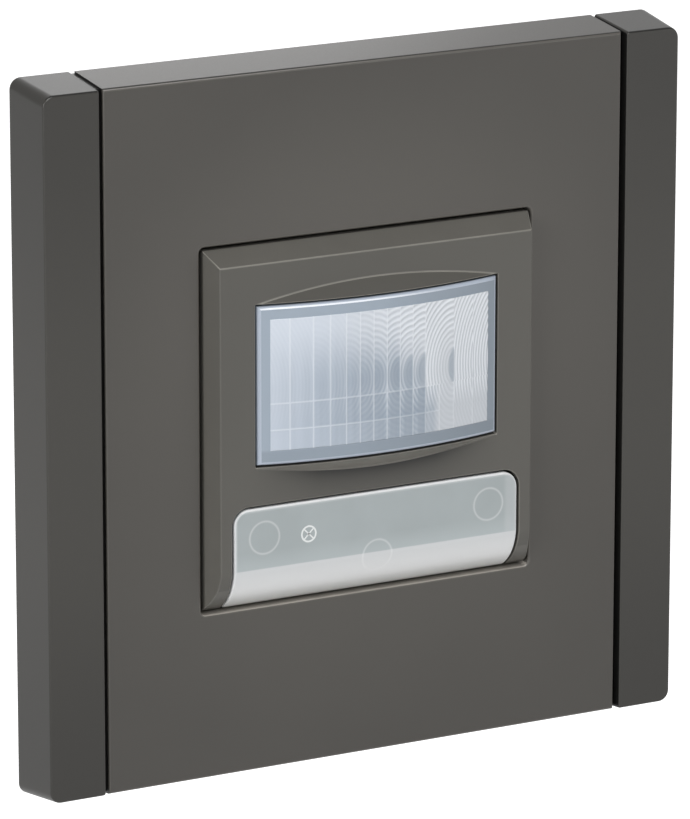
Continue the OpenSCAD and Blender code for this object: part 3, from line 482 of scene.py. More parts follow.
def facetTone(tree, x, z, look):
    bright = mixColor(fade(x, look["brightSpan"]), look["brightLeft"], look["brightRight"])
    lower = fade(z, look["lowerSpan"], (1.0, 0.0))
    bright = mixColor(lower, bright, look["lower"], blend="MULTIPLY")
    shade = sensorShade(x, z, sensorShadow)
    base = mixColor(shade, bright, look["shade"])
    streak = noiseNode(stretchedPoint(tree, look["streakScale"]), 1.0)
    dark = rangeNode(streak, *look["streakSpan"], 0.0, look["streakShare"])
    base = mixColor(times(dark, shade), base, scaled(look["shade"], look["streakTone"]))
    lines = fade(x, look["lineSpan"], look["lineShares"])
    # ring crests and facet borders painted lighter and ringed parts darker: painted highlight and shade on
    # the relief
    marks = (
        ("share", look["grooveShare"], "groove"), ("ring", look["crestShare"], "crest"),
        ("pupil", look["pupilShare"], "pupil"), ("ridge", lines, "crest"),
    )
    for mark, amount, tint in marks:
        base = mixColor(times(attributeNode(tree, mark), amount), base, look[tint])
    return base


def bandTone(tree, x, z, look):
    base = mixColor(fade(x, look["bandSpan"]), look["bandLeft"], look["bandRight"])
    base = mixColor(fade(z, look["footSpan"], (look["footShare"], 0.0)), base, look["foot"])
    # rounded edges painted lighter as a painted highlight
    edge = attributeNode(tree, "edgeWearAndHighlight")
    base = mixColor(above(edge, look["edgeFrom"]), base, look["edge"])
    # light caught along the lower part of the rounded top edge
    caught = times(above(edge, look["gleamFrom"]), below(edge, look["gleamTo"]))
    caught = times(caught, fade(x, look["gleamSpan"], (look["gleamShare"], 0.0)))
    return mixColor(caught, base, look["gleam"])


def lensFinish(name, look, toneOf):
    material, tree, sockets = startMaterial(name)
    x, _, z = objectAxes(tree)
    grain = grainOf(tree, look)
    cloud = mixColor(grain["Drift"], *((level,) * 3 for level in look["cloud"]))
    color = mixColor(1.0, toneOf(tree, x, z, look), cloud, blend="MULTIPLY")
    dressSurface(sockets, look, color, grain["Speckle"], grain["Height"])
    return material


def keyFinish(name, look):
    material, tree, sockets = startMaterial(name)
    x, _, z = objectAxes(tree)

    def step(place, border, soft, levels=(0.0, 1.0), smooth=True):
        return fade(place, (look[border] - look[soft], look[border] + look[soft]), levels, smooth)

    hollow = times(
        step(x, "hollowLeft", "soft"),
        step(x, "hollowRight", "soft", (1.0, 0.0)),
        step(z, "hollowTop", "soft", (1.0, 0.0)),
        step(z, "crease", "creaseSoft", smooth=False),
        fade(x, look["band"], (1.0, look["bandLevel"]), smooth=True),
    )
    grain = grainOf(tree, look)
    wall = mixColor(grain["Drift"], *(scaled(look["wall"], level) for level in look["wallCloud"]))
    glow = fade(z, (look["crease"], look["glowTop"]), (1.0, 0.0))
    wall = mixColor(glow, wall, scaled(look["wall"], look["glow"]))
    # the roll is painted lighter from the crease towards its end, a painted grading of light over it
    foot = mixColor(fade(z, (look["crease"], look["footEnd"])), look["footTop"], look["footLow"])
    base = mixColor(hollow, foot, wall)
    warm = fade(z, look["warmSpan"], (look["warmShare"], 0.0), smooth=True)
    base = mixColor(warm, base, look["warm"])
    # rings of the posts behind the wall
    for postX, postZ in look["posts"]:
        radius = reachOf(minus(x, postX * mm), minus(z, postZ * mm))
        off = gapTo(radius, look["ringRadius"] * mm)
        ring = fade(off, (0.0, look["ringWidth"]), (look["ringShare"], 0.0), smooth=True)
        base = mixColor(ring, base, look["rim"])
    # rounded edges get a painted highlight in the rim colour
    wearAndLight = groupNode(tree, wearAndHighlightGroup, {"Color": base, "Worn And Lit": look["rim"]})
    dressSurface(sockets, look, wearAndLight["Color"], grain["Speckle"], grain["Height"])
    return material


finishes = {slot: plasticFinish(slot, look) for slot, look in plasticLooks.items()}
finishes.update({slot: metalFinish(slot, look) for slot, look in metalLooks.items()})
finishes.update({slot: boardFinish(slot, look) for slot, look in boardLooks.items()})
finishes["lens_plastic"] = lensFinish("lens_plastic", lensLook, bandTone)
finishes["lens_facets"] = lensFinish("lens_facets", lensLook, facetTone)
finishes["key_plastic"] = keyFinish("key_plastic", keyLook)
print("finishes made:", len(finishes))


# Pieces

def newObject(name, data):
    obj = bpy.data.objects.new(name, data)
    scene.collection.objects.link(obj)
    return obj


def plainMesh(obj):
    # modifiers become the object's own mesh
    graph = bpy.context.evaluated_depsgraph_get()
    made = obj.evaluated_get(graph)
    mesh = bpy.data.meshes.new_from_object(made, preserve_all_data_layers=True, depsgraph=graph)
    obj.modifiers.clear()
    obj.data = mesh
    mesh.name = obj.name
    return mesh


@contextmanager
def meshWork(mesh):
    # a bmesh that goes back into its mesh at the end
    work = bmesh.new()
    work.from_mesh(mesh)
    yield work
    work.to_mesh(mesh)
    work.free()


def onlyVerts(geometry):
    return [item for item in geometry if isinstance(item, bmesh.types.BMVert)]


def shadeCrisp(mesh, degrees):
    mesh.shade_smooth()
    mesh.set_sharp_from_angle(angle=math.radians(degrees))


def addMark(mesh, label, values):
    mesh.attributes.new(label, "FLOAT", "FACE").data.foreach_set("value", values)


def placePiece(obj, body, slot, *replaced):
    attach(obj, body)
    if replaced:
        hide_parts(*replaced)
    return obj


edgeSet = {
    "weld": 0.002, "sharp": 15, "roundSharp": 50,  # mm and degrees
    "segments": 3, "normalWeight": 90,
    # painted highlight with a little wear on all rounded edges, and more on those that face up, where light
    # falls
    "wearAndLight": 0.3, "upperHighlight": 0.7,  # all rounded edges, and more on those that face up
}


def mergedCopy(name, nodeName, flatness, chosen):
    # the node's loose triangles joined into flat faces, with its chosen sharp edges marked
    mesh = nodes[nodeName].data.copy()
    mesh.materials.clear()
    with meshWork(mesh) as work:
        bmesh.ops.remove_doubles(work, verts=work.verts, dist=edgeSet["weld"] * mm)
        flat = math.radians(flatness)
        bmesh.ops.dissolve_limit(work, angle_limit=flat, verts=work.verts, edges=work.edges)
        weight = work.edges.layers.float.new("bevel_weight_edge")
        for edge in work.edges:
            middle = (edge.verts[0].co + edge.verts[1].co) / (2 * mm)
            sharp = edge.calc_face_angle(0.0) > math.radians(edgeSet["sharp"])
            edge[weight] = float(sharp and chosen(middle))
    return newObject(name, mesh)


def keepCrisp(mesh):
    # edges that weren't rounded stay sharp, rounded ones and shallow curves run smooth
    with meshWork(mesh) as work:
        for edge in work.edges:
            rounded = any(face.material_index for face in edge.link_faces)
            limit = edgeSet["roundSharp"] if rounded else edgeSet["sharp"]
            edge.smooth = edge.calc_face_angle(0.0) < math.radians(limit)


def roundedCopy(name, nodeName, body, slot, radius, flatness, chosen):
    obj = mergedCopy(name, nodeName, flatness, chosen)
    # a second slot marks the rounded faces until their painted highlight and wear is set
    for _ in range(2):
        obj.data.materials.append(finishes[slot])
    for polygon in obj.data.polygons:
        polygon.use_smooth = True
        polygon.material_index = 0
    bevel = obj.modifiers.new("roundEdges", "BEVEL")
    bevel.width = radius * mm
    bevel.segments = edgeSet["segments"]
    bevel.use_clamp_overlap = False
    bevel.limit_method = "WEIGHT"
    bevel.material = 1
    bevel.miter_outer = "MITER_ARC"
    keepCrisp(plainMesh(obj))
    normals = obj.modifiers.new("faceNormals", "WEIGHTED_NORMAL")
    normals.keep_sharp = True
    normals.weight = edgeSet["normalWeight"]
    mesh = plainMesh(obj)
    # weight of the painted highlight on each rounded face, stronger where it faces up
    addMark(mesh, "edgeWearAndHighlight", [
        polygon.material_index * (edgeSet["wearAndLight"] + edgeSet["upperHighlight"] * max(polygon.normal.z, 0.0))
        for polygon in mesh.polygons
    ])
    for polygon in mesh.polygons:
        polygon.material_index = 0
    mesh.materials.pop(index=1)
    return placePiece(obj, body, slot, nodeName)


# limits in mm, slopes as a face's normal along Z, or along Y for the outer slopes
shadeAndHighlightMarks = {
    # joint walls painted dark as shade, upper front edges given a painted dark reflection, the sill a painted
    # highlight
    "wall": (-0.61, 0.02),  # joint walls, out from the bars' inner sides
    "top": 42.5, "topSlope": 0.6, "topDarkReflection": 0.85, "topHighlight": 0.3,
    "frontSlope": 0.2, "frontHighlight": 0.4,
    "sill": (-23.5, -22.0), "sillSlope": 0.5, "sillHighlight": 1.0, "sillFrontHighlight": 0.1,
}
bezelMarks = {
    "lip": (-6.4, -4.3), "lipSlope": -0.5, "lipHalf": 16, "lipFront": -9.95, "lipHighlight": 0.85,
    "outer": 20.3, "outerFront": -7.2, "outerSlope": (-0.9, -0.1), "outerSlopeLight": 0.16,
    "upright": 19.9, "uprightSlope": 0.3, "uprightHighlight": 0.3,
}


def markShadeAndHighlight(obj, inner, marks):
    # walls of the joint between the bars and the plate painted dark as shade, a painted dark reflection line
    # along the upper front edges, and a painted highlight along the sill under the key
    mesh = obj.data
    shadeMarks = []
    for polygon, wearAndLight in zip(mesh.polygons, mesh.attributes["edgeWearAndHighlight"].data):
        x, _, z = polygon.center / mm
        slope = polygon.normal.z
        wall = marks["wall"][0] < abs(x) - inner / mm < marks["wall"][1]
        upper = wearAndLight.value > 0 and z > marks["top"]
        line = upper and slope > marks["topSlope"]
        if upper:
            wearAndLight.value *= 0.0 if line else marks["topHighlight"]
        elif slope < marks["frontSlope"]:
            wearAndLight.value *= marks["frontHighlight"]
        elif marks["sill"][0] < z < marks["sill"][1]:
            wearAndLight.value = marks["sillHighlight"] if slope > marks["sillSlope"] else marks["sillFrontHighlight"]
        shadeMarks.append(1.0 if wall else marks["topDarkReflection"] if line else 0.0)
    addMark(mesh, "paintedShade", shadeMarks)


def markBezel(obj, marks):
    # the slope of the lip under the lens gets a painted highlight as its edges do, the outer slopes are
    # painted a little lighter as lit, and the upright edges get hardly any painted highlight
    for polygon, wearAndLight in zip(obj.data.polygons, obj.data.attributes["edgeWearAndHighlight"].data):
        x, y, z = polygon.center / mm
        slope = polygon.normal.z
        onLip = abs(x) < marks["lipHalf"] and y < marks["lipFront"] and marks["lip"][0] < z < marks["lip"][1]
        outer = max(abs(x), z) > marks["outer"] and y < marks["outerFront"]
        sloping = marks["outerSlope"][0] < polygon.normal.y < marks["outerSlope"][1]
        if onLip and slope < marks["lipSlope"]:
            wearAndLight.value = marks["lipHighlight"]
        elif wearAndLight.value == 0 and outer and sloping:
            wearAndLight.value = marks["outerSlopeLight"]
        elif abs(x) > marks["upright"] and abs(slope) < marks["uprightSlope"]:
            wearAndLight.value *= marks["uprightHighlight"]


# where edges are rounded, in mm
frontEdges = {"depth": -7.0}
yokeOutline = {"half": 35.3}
bezelFace = {"front": -7.2, "hollowHalf": 20.75, "hollowFront": -8.6, "hollowLow": -16.5}
lensOutline = {"front": -9.8, "half": 16.2, "high": 15.25, "low": -4.05}
keyFace = {"front": -8.85, "half": 19.3, "rollTop": -17.05}
housingCorners = {"outline": 23.3, "diagonal": 1.66, "back": 31.9, "middle": 15, "reach": 5}


def onFront(place):
    return place.y < frontEdges["depth"]


def onYokeOutline(place):
    return max(abs(place.x), abs(place.z)) > yokeOutline["half"]


def onBezelFace(place):
    # the raised front, the brows, the slopes and the roll, without the hollow behind them
    inHollow = abs(place.x) < bezelFace["hollowHalf"] and place.z > bezelFace["hollowLow"]
    return place.y < bezelFace["front"] and not (inHollow and place.y > bezelFace["hollowFront"])


def onLensOutline(place):
    outside = abs(place.x) > lensOutline["half"] or not lensOutline["low"] <= place.z <= lensOutline["high"]
    return place.y < lensOutline["front"] and outside


def onKeyFace(place):
    # the outline of the front and the two ends of the roll below it
    rollEnd = abs(place.x) > keyFace["half"] and place.z < keyFace["rollTop"]
    return place.y < keyFace["front"] or rollEnd


def onHousingCorners(place):
    # long corners of the box and the rim of its back, without bosses, vents and wire holes
    across, up = abs(place.x), abs(place.z)
    outline = max(across, up, (across + up) / housingCorners["diagonal"])
    long = abs(place.y - housingCorners["middle"]) < housingCorners["reach"]
    return outline > housingCorners["outline"] and (long or place.y > housingCorners["back"])


roundedPieces = [
    # piece, node, body, slot, edge radius in mm, flat angle in degrees, edges that are rounded
    ("leftTrimBar", "left_trim_bar", "base", "trim_plastic", 0.26, 5.0, onFront),
    ("rightTrimBar", "right_trim_bar", "base", "trim_plastic", 0.26, 5.0, onFront),
    ("coverPlate", "cover_plate", "base", "plate_plastic", 0.28, 0.2, onFront),
    ("sensorBezel", "sensor_bezel", "base", "bezel_plastic", 0.13, 0.2, onBezelFace),
    ("rearHousing", "rear_housing", "base", "housing_plastic", 0.40, 0.2, onHousingCorners),
    ("mountingYoke", "mounting_yoke", "base", "galvanised_steel", 0.25, 0.2, onYokeOutline),
    ("lensShell", "fresnel_lens", "base", "lens_plastic", 0.40, 0.2, onLensOutline),
    ("pushKey", "push_key", "key", "key_plastic", 0.24, 0.2, onKeyFace),
]
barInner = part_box("right_trim_bar")[0].x
for piece, node, body, slot, radius, flatness, chosen in roundedPieces:
    obj = roundedCopy(piece, node, body, slot, radius, flatness, chosen)
    if slot in ("trim_plastic", "plate_plastic"):
        markShadeAndHighlight(obj, barInner, shadeAndHighlightMarks)
    if slot == "bezel_plastic":
        markBezel(obj, bezelMarks)
print("rounded pieces made:", len(roundedPieces))

# nodes whose shape is right keep it and take the finish of their slot
replaced = {row[1] for row in roundedPieces}
for row in frame["record"]["subparts"]:
    if row["node"] not in replaced:
        mesh = nodes[row["node"]].data
        mesh.materials.clear()
        mesh.materials.append(finishes[row["material_slot"]])
print("plain nodes finished:", len(nodes) - len(replaced))


# Geometry Nodes that the facets, screws and springs share

def spotAxes(tree):
    return splitAxes(newNode(tree, "GeometryNodeInputPosition").outputs[0])


def movedTo(geometry, x, y, z):
    values = {"Geometry": geometry, "Position": joinAxes(x, y, z)}
    return newNode(treeOf(geometry), "GeometryNodeSetPosition", values).outputs[0]


def closeTree(result, geometry, finish):
    tree = treeOf(geometry)
    realized = newNode(tree, "GeometryNodeRealizeInstances", {0: geometry}).outputs[0]
    painted = newNode(tree, "GeometryNodeSetMaterial", {"Geometry": realized, "Material": finish})
    feed(result["Geometry"], painted.outputs[0])
    return tree


def grownPiece(name, tree, sizes):
    # an object whose mesh is what the tree makes of the sizes
    obj = newObject(name, bpy.data.meshes.new(name))
    modifier = obj.modifiers.new("growth", "NODES")
    modifier.node_group = tree
    for item in tree.interface.items_tree:
        if item.in_out == "INPUT":
            modifier[item.identifier] = sizes[item.name]
    plainMesh(obj).validate()  # drops double edges that a boolean can leave
    return obj


# Fresnel facets on the lens

facetSizes = {
    "Half Width": 14.85 * mm,
    "Low": -2.40 * mm,
    "High": 13.75 * mm,
    "Step": 0.10 * mm,
    "Ring Pitch": 0.42 * mm,
    "Ring Stretch": 1.7,
    "Ring Depth": 0.10 * mm,
    "Depth Per Radius": 0.03,
    "Pupil Height": 2.4 * mm,
    "Pupil Softness": 0.35,
    "Ridge Width": 0.11 * mm,
    "Ridge Height": 0.05 * mm,
    "Proud": 0.03 * mm,
}
facetCells = {
    "columns": (1.8, 3.6, 5.4, 7.45, 9.6, 12.5),  # column borders out from the middle, mm
    "centres": (1.8, 3.6, 5.4, 9.6, 9.6, 16.0, 18.0),  # optical centre of each column, mm
    "pupils": (1.6, 1.4, 1.2, 0.9, 0.9, 0.02, 0.02),  # half-width of the clear spot there, mm
    "rows": (0.15, 3.4),  # row borders, mm
    "heights": (3.6, 4.4, 5.4),  # optical height of each row, mm
    "ringSide": (-6, 2.5), "ringSideLevels": (0.12, 1.0),  # hardly any rings in the left half
    "ringRise": (0.5, 3.0), "ringRiseLevels": (0.2, 1.0),  # nor in the lower rows
    "pupilSide": (-3.8, 0.5),  # no clear spots in the left half
    "wideGap": 0.5,  # from the middle columns to the wide facet, mm
}
lensSheet = {"half": 16.3 * mm, "bulge": 2.15 * mm, "facetDepth": 0.25 * mm, "touching": 0.001 * mm}


def facetTree(sizes, cells, finish):
    tree, given, result = openTree("GeometryNodeTree", "fresnelFacets", sizes, "Geometry")

    def stepSum(value, levels, borders):
        # the level that holds between two borders
        total = levels[0] * mm
        for border, before, after in zip(borders, levels, levels[1:]):
            past = above(value, border * mm)
            total = plus(total, times(past, (after - before) * mm))
        return total

    def ridgeOver(value, borders):
        ridge = 0.0
        for border in borders:
            off = over(gapTo(value, border * mm), given["Ridge Width"])
            ridge = mathNode("MAXIMUM", ridge, mathNode("SUBTRACT", 1.0, off, clamp=True))
        return ridge

    width = times(given["Half Width"], 2.0)
    height = minus(given["High"], given["Low"])
    grid = newNode(tree, "GeometryNodeMeshGrid", {
        "Size X": width, "Vertices X": over(width, given["Step"]),
        "Size Y": height, "Vertices Y": over(height, given["Step"]),
    })
    x, up, _ = spotAxes(tree)
    z = plus(up, times(plus(given["High"], given["Low"]), 0.5))
    out = mathNode("ABSOLUTE", x)
    dx = minus(out, stepSum(out, cells["centres"], cells["columns"]))
    dz = minus(z, stepSum(z, cells["heights"], cells["rows"]))
    radius = reachOf(dx, over(dz, given["Ring Stretch"]))
    half = times(given["Ring Pitch"], 0.5)
    wave = over(mathNode("PINGPONG", radius, half), half)
    depth = mathNode("MINIMUM", times(radius, given["Depth Per Radius"]), given["Ring Depth"])
    side = fade(x, cells["ringSide"], cells["ringSideLevels"])
    amount = times(side, fade(z, cells["ringRise"], cells["ringRiseLevels"]))
    groove = times(wave, times(depth, amount))
    # clear spots: half ovals in the top row, upright bands in the middle columns below it
    upper = above(z, cells["rows"][1] * mm)
    narrow = over(dx, stepSum(out, cells["pupils"], cells["columns"]))
    tall = over(dz, given["Pupil Height"])
    oval = plus(times(narrow, narrow), times(tall, tall, upper))
    pupil = rangeNode(minus(1.0, oval), 0.0, given["Pupil Softness"])
    middleEnd, rowEnd = cells["columns"][2:4]
    shown = mathNode("MAXIMUM", upper, below(out, middleEnd * mm))
    pupil = times(pupil, shown, fade(x, cells["pupilSide"]))
    # borders between facets, without the ones that the wide facet spans
    wide = times(above(x, (middleEnd + cells["wideGap"]) * mm), upper)
    columns = times(ridgeOver(out, (0.0,) + cells["columns"]), minus(1.0, wide))
    rows = times(ridgeOver(z, cells["rows"]), below(x, rowEnd * mm))
    ridge = mathNode("MAXIMUM", columns, rows)
    relief = plus(plus(given["Proud"], groove), times(ridge, given["Ridge Height"]))
    lensRadius = given["Lens Radius"]
    bow = mathNode("SQRT", minus(times(lensRadius, lensRadius), times(x, x)))
    front = minus(plus(given["Apex"], lensRadius), bow)
    share = over(times(depth, amount), given["Ring Depth"])
    marks = {"share": share, "ring": times(wave, share), "pupil": pupil, "ridge": ridge}
    geometry = grid.outputs["Mesh"]
    for label, value in marks.items():
        values = {"Geometry": geometry, "Name": label, "Value": value}
        store = newNode(tree, "GeometryNodeStoreNamedAttribute", values, data_type="FLOAT", domain="POINT")
        geometry = store.outputs[0]
    geometry = movedTo(geometry, x, minus(front, relief), z)
    return closeTree(result, geometry, finish)


def closeBack(mesh, depthAt, touching):
    # walls round the sheet's border and upright strips across its back
    with meshWork(mesh) as work:
        border = [edge for edge in work.edges if edge.is_boundary]
        rim = onlyVerts(bmesh.ops.extrude_edge_only(work, edges=border)["geom"])
        for vert in rim:
            vert.co.y = depthAt(vert.co.x)
        sides = []
        for axis, end in ((2, min), (2, max), (0, min), (0, max)):
            limit = end(v.co[axis] for v in rim)
            chain = [v for v in rim if abs(v.co[axis] - limit) < touching]
            sides.append(sorted(chain, key=lambda v: v.co[2 - axis]))
        low, high, left, right = sides
        work.faces.new(left + [high[1], low[1]])
        work.faces.new([low[-2], high[-2]] + right[::-1])
        for i in range(1, len(low) - 2):
            work.faces.new((low[i], high[i], high[i + 1], low[i + 1]))
        bmesh.ops.recalc_face_normals(work, faces=work.faces)


def makeFacets(sheet):
    half, bulge = sheet["half"], sheet["bulge"]
    radius = (half ** 2 + bulge ** 2) / (2 * bulge)
    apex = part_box("fresnel_lens")[0].y
    back = apex + radius + sheet["facetDepth"]
    sizes = {**facetSizes, "Lens Radius": radius, "Apex": apex}
    obj = grownPiece("lensFacets", facetTree(sizes, facetCells, finishes["lens_facets"]), sizes)
    closeBack(obj.data, lambda x: back - math.sqrt(radius ** 2 - x ** 2), sheet["touching"])
    obj.data.shade_smooth()
    placePiece(obj, "base", "lens_plastic")
    print("facets made:", len(obj.data.polygons), "faces")


makeFacets(lensSheet)


# Cross-head screws in the back of the housing

screwSizes = {
    "Head Radius": 2.0 * mm,
    "Head Height": 1.8 * mm,
    "Crown": 0.35 * mm,
    "Crown Power": 4.0,
    "Shank Radius": 1.1 * mm,
    "Slot Reach": 1.3 * mm,
    "Slot Width": 0.55 * mm,
    "Slot Depth": 0.8 * mm,
    "Weld": 0.01 * mm,
    "Seed": 7,
}
screwSteps = {"head": 48, "headRings": 8, "shank": 24, "shankRings": 1, "crisp": 35}
screwRecessShade = {"span": (-0.45, -0.1), "share": 0.9, "tone": (0.05, 0.05, 0.05)}


def screwTree(sizes, finish):
    tree, given, result = openTree("GeometryNodeTree", "crossScrews", sizes, "Geometry")

    def rod(radius, depth, vertices, rings):
        return newNode(tree, "GeometryNodeMeshCylinder", {
            "Vertices": screwSteps[vertices], "Side Segments": 1, "Fill Segments": screwSteps[rings],
            "Radius": given[radius], "Depth": given[depth],
        }).outputs["Mesh"]

    def bar(x, y, z):
        return newNode(tree, "GeometryNodeMeshCube", {"Size": joinAxes(x, y, z)}).outputs["Mesh"]

    # head with its top at zero, falling away towards the rim
    x, y, z = spotAxes(tree)
    out = over(reachOf(x, y), given["Head Radius"])
    fall = times(mathNode("POWER", out, given["Crown Power"]), above(z, 0.0))
    top = minus(z, times(given["Head Height"], 0.5))
    rise = minus(top, times(fall, given["Crown"]))
    head = movedTo(rod("Head Radius", "Head Height", "head", "headRings"), x, y, rise)
    reach = times(given["Slot Reach"], 2.0)
    deep = times(given["Slot Depth"], 2.0)
    cross = newNode(tree, "GeometryNodeMeshBoolean", {"Mesh 1": head}, operation="DIFFERENCE")
    feed(cross.inputs["Mesh 2"], bar(reach, given["Slot Width"], deep))
    feed(cross.inputs["Mesh 2"], bar(given["Slot Width"], reach, deep))
    sink = plus(given["Head Height"], times(given["Shank Length"], 0.5))
    shank = movedTo(rod("Shank Radius", "Shank Length", "shank", "shankRings"), x, y, minus(z, sink))
    values = {"Geometry": cross.outputs["Mesh"], "Distance": given["Weld"]}
    clean = newNode(tree, "GeometryNodeMergeByDistance", values)
    split = newNode(tree, "GeometryNodeTriangulate", {"Mesh": clean.outputs[0]})
    joined = newNode(tree, "GeometryNodeJoinGeometry", {0: split.outputs[0]})
    feed(joined.inputs[0], shank)

    side = times(given["Spread"], 2.0)
    values = {"Size X": side, "Size Y": side, "Vertices X": 2, "Vertices Y": 2}
    corners = newNode(tree, "GeometryNodeMeshGrid", values).outputs["Mesh"]
    copies = newNode(tree, "GeometryNodeInstanceOnPoints", {
        "Points": movedTo(corners, x, given["Top"], y),
        "Instance": joined.outputs[0],
        "Rotation": (math.radians(-90), 0, 0),
    })
    values = {"Max": math.tau, "Seed": given["Seed"]}
    spin = newNode(tree, "FunctionNodeRandomValue", values, data_type="FLOAT").outputs[1]
    values = {"Instances": copies.outputs[0], "Rotation": joinAxes(0.0, 0.0, spin)}
    turned = newNode(tree, "GeometryNodeRotateInstances", values).outputs[0]
    return closeTree(result, turned, finish)


def makeScrews():
    low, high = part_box("housing_screws")
    sizes = dict(screwSizes)
    sizes["Spread"] = high.x - sizes["Head Radius"]
    sizes["Top"] = high.y
    sizes["Shank Length"] = high.y - low.y - sizes["Head Height"]
    finish = metalFinish("screw_heads", metalLooks["screw_steel"], {**screwRecessShade, "top": high.y})
    obj = grownPiece("housingScrews", screwTree(sizes, finish), sizes)
    shadeCrisp(obj.data, screwSteps["crisp"])
    placePiece(obj, "base", "screw_steel", "housing_screws")
    print("screws made:", len(obj.data.polygons), "faces")


makeScrews()


# Coil springs behind the key

springSizes = {"Wire Radius": 0.18 * mm, "Turns": 7.0}
springSteps = {"along": 28, "round": 12, "crisp": 50}


def springTree(sizes, finish):
    tree, given, result = openTree("GeometryNodeTree", "coilSpring", sizes, "Geometry")
    coil = newNode(tree, "GeometryNodeCurveSpiral", {
        "Resolution": springSteps["along"], "Rotations": given["Turns"], "Height": given["Length"],
        "Start Radius": given["Coil Radius"], "End Radius": given["Coil Radius"],
    })
    values = {"Resolution": springSteps["round"], "Radius": given["Wire Radius"]}
    wire = newNode(tree, "GeometryNodeCurvePrimitiveCircle", values)
    values = {"Curve": coil.outputs[0], "Profile Curve": wire.outputs[0], "Fill Caps": True}
    tube = newNode(tree, "GeometryNodeCurveToMesh", values).outputs[0]
    # the coil is wound along Z and lies along Y
    x, y, z = spotAxes(tree)
    across, along = plus(given["Centre X"], x), plus(given["Front"], z)
    lying = movedTo(tube, across, along, minus(given["Centre Z"], y))
    return closeTree(result, lying, finish)


def makeSpring(name, nodeName):
    low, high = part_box(nodeName)
    wire = springSizes["Wire Radius"]
    sizes = dict(springSizes)
    sizes["Coil Radius"] = (high.x - low.x) / 2 - wire
    sizes["Length"] = high.y - low.y - 2 * wire
    sizes["Front"] = low.y + wire
    sizes["Centre X"] = (low.x + high.x) / 2
    sizes["Centre Z"] = (low.z + high.z) / 2
    obj = grownPiece(name, springTree(sizes, finishes["spring_steel"]), sizes)
    shadeCrisp(obj.data, springSteps["crisp"])
    placePiece(obj, "base", "spring_steel", nodeName)
    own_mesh(obj)


makeSpring("keySpringLeft", "key_spring_left")
makeSpring("keySpringRight", "key_spring_right")
print("springs made")


# Printed lamp sign on the key

signSizes = {
    "x": -9.4, "z": -13.5, "radius": 0.95, "line": 0.11, "crossLine": 0.088,
    "proud": 0.015, "thick": 0.06, "steps": 40,
}


def makeSign(sizes):
    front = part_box("push_key")[0].y - sizes["proud"] * mm
    middle = Vector((sizes["x"], 0, sizes["z"]))
    inner, outer = sizes["radius"] - sizes["line"], sizes["radius"] + sizes["line"]
    steps, cross = sizes["steps"], sizes["crossLine"]
    mesh = bpy.data.meshes.new("lampSign")
    with meshWork(mesh) as work:

        def corner(turn, out, aside=0.0):
            along = Vector((math.cos(turn), 0, math.sin(turn)))
            across = Vector((-along.z, 0, along.x))
            spot = (middle + along * out + across * aside) * mm
            return work.verts.new((spot.x, front, spot.z))

        circle = [[corner(math.tau * i / steps, out) for out in (inner, outer)] for i in range(steps)]
        for i in range(steps):
            a, b = circle[i], circle[(i + 1) % steps]
            work.faces.new((a[0], a[1], b[1], b[0]))
        for turn in (math.radians(45), math.radians(135)):
            ends = ((-inner, -cross), (inner, -cross), (inner, cross), (-inner, cross))
            work.faces.new([corner(turn, out, aside) for out, aside in ends])
        bmesh.ops.recalc_face_normals(work, faces=work.faces)
        made = bmesh.ops.extrude_face_region(work, geom=list(work.faces))["geom"]
        bmesh.ops.translate(work, verts=onlyVerts(made), vec=(0, sizes["thick"] * mm, 0))
        bmesh.ops.recalc_face_normals(work, faces=work.faces)
    mesh.materials.append(finishes["sign_print"])
    placePiece(newObject("lampSign", mesh), "key", "key_plastic")
    print("sign made:", len(mesh.polygons), "faces")


makeSign(signSizes)


# Camera, stage and light

cameraSet = {
    "azimuth": -28.592, "elevation": 15.023, "roll": 0.04,
    "distance": 749.67, "right": 0.86, "up": -1.570,
    "focalPixels": 6173.1, "imageHeight": 819, "sensor": 36.0, "clipStart": 0.01,
}
stageSet = {
    "drop": 60 * mm, "half": 3.0, "pale": (0.52, 0.52, 0.52), "rough": 0.9,
    "cameraLift": 0.9, "glossLift": 0.38,
}
lightSet = {
    # levels of the room, and where they change along the direction looked in
    "behind": 1.0, "front": 0.30, "depthSpan": (-0.4, 0.3),
    "overhead": 0.75, "heightSpan": (0.5, 0.8),
    "left": 0.6, "sideSpan": (-0.5, 0.3),
    "lamps": {
        # place and size in metres, power in watts
        "softboxFront": {"place": (-0.15, -1.10, 0.90), "size": 0.9, "power": 13.4},
        "softboxLeft": {"place": (-1.20, -0.60, 0.35), "size": 0.7, "power": 7.2},
        "softboxRight": {"place": (0.95, -0.95, 0.05), "size": 0.7, "power": 2.0},
        "softboxBehind": {"place": (0.13, 0.48, 0.18), "size": 0.3, "power": 0.27},
    },
}


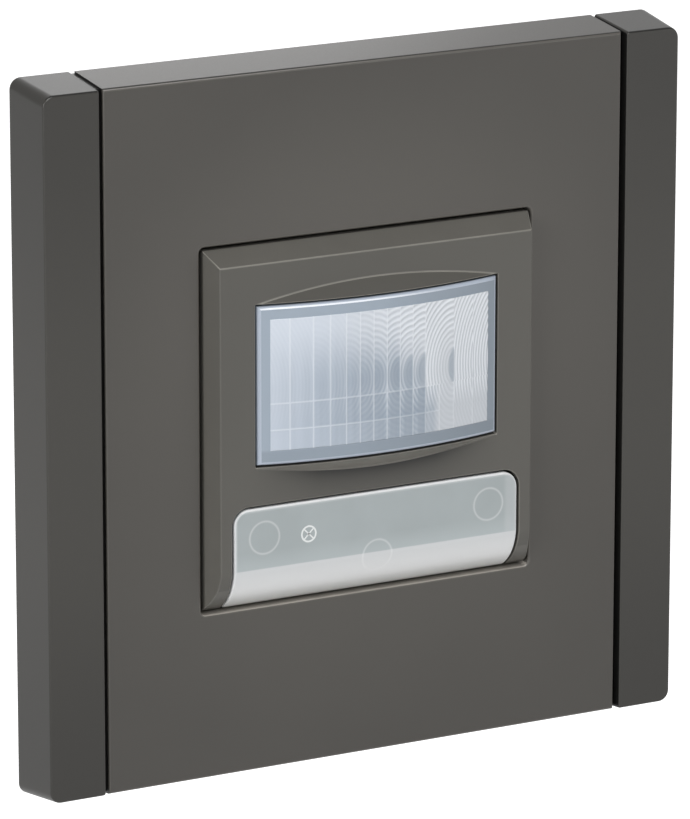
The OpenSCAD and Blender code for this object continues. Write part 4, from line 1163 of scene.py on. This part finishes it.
def makeCamera(look):
    a, e, r = (math.radians(look[key]) for key in ("azimuth", "elevation", "roll"))
    back = Vector((math.sin(a) * math.cos(e), -math.cos(a) * math.cos(e), math.sin(e)))
    right = Vector((math.cos(a), math.sin(a), 0))
    up = right.cross(-back).normalized()
    eye = (back * look["distance"] + right * look["right"] + up * look["up"]) * mm
    rolledRight = right * math.cos(r) + up * math.sin(r)
    rolledUp = up * math.cos(r) - right * math.sin(r)
    turned = Matrix((rolledRight, rolledUp, back)).transposed().to_4x4()
    data = bpy.data.cameras.new("photoCamera")
    data.sensor_fit = "VERTICAL"
    data.sensor_width = look["sensor"]
    data.sensor_height = look["sensor"]
    data.lens = look["focalPixels"] / look["imageHeight"] * look["sensor"]
    data.clip_start = look["clipStart"]
    camera = newObject("photoCamera", data)
    camera.matrix_world = Matrix.Translation(eye) @ turned
    scene.camera = camera


def makeWorld(look):
    # white backdrop behind the object, a dim room in front of it and overhead
    world = bpy.data.worlds.new("studio")
    scene.world = world
    world.use_nodes = True
    tree = world.node_tree
    tree.nodes.clear()
    x, y, z = splitAxes(newNode(tree, "ShaderNodeTexCoord").outputs["Generated"])
    depth = rangeNode(y, *look["depthSpan"], look["front"], look["behind"], smooth=True)
    height = rangeNode(z, *look["heightSpan"], 1.0, look["overhead"])
    side = rangeNode(x, *look["sideSpan"], look["left"], 1.0)
    seen = newNode(tree, "ShaderNodeLightPath").outputs["Is Camera Ray"]
    level = mathNode("MAXIMUM", times(depth, height, side), seen)
    sky = newNode(tree, "ShaderNodeBackground", {"Strength": level})
    newNode(tree, "ShaderNodeOutputWorld", {"Surface": sky.outputs[0]})


def makeFloor(look):
    mesh = bpy.data.meshes.new("floor")
    half, z = look["half"], cadBox[0].z - look["drop"]
    corners = [(-half, -half, z), (half, -half, z), (half, half, z), (-half, half, z)]
    mesh.from_pydata(corners, [], [(0, 1, 2, 3)])
    material, tree, sockets = startMaterial("paleFloor")
    path = newNode(tree, "ShaderNodeLightPath").outputs
    gloss = times(path["Is Glossy Ray"], look["glossLift"])
    seen = times(path["Is Camera Ray"], look["cameraLift"])
    feedAll(sockets, {
        "Base Color": look["pale"], "Roughness": look["rough"],
        "Emission Color": (1, 1, 1), "Emission Strength": plus(gloss, seen),
    })
    mesh.materials.append(material)
    floor = newObject("floor", mesh)


def makeLamps(lamps):
    for name, look in lamps.items():
        data = bpy.data.lights.new(name, "AREA")
        data.shape = "SQUARE"
        data.size = look["size"]
        data.energy = look["power"]
        lamp = newObject(name, data)
        lamp.location = look["place"]
        lamp.rotation_euler = (-Vector(look["place"])).to_track_quat("-Z", "Y").to_euler()


makeCamera(cameraSet)
makeWorld(lightSet)
makeFloor(stageSet)
makeLamps(lightSet["lamps"])
scene.view_settings.view_transform = "Standard"
print("camera, stage and light made")
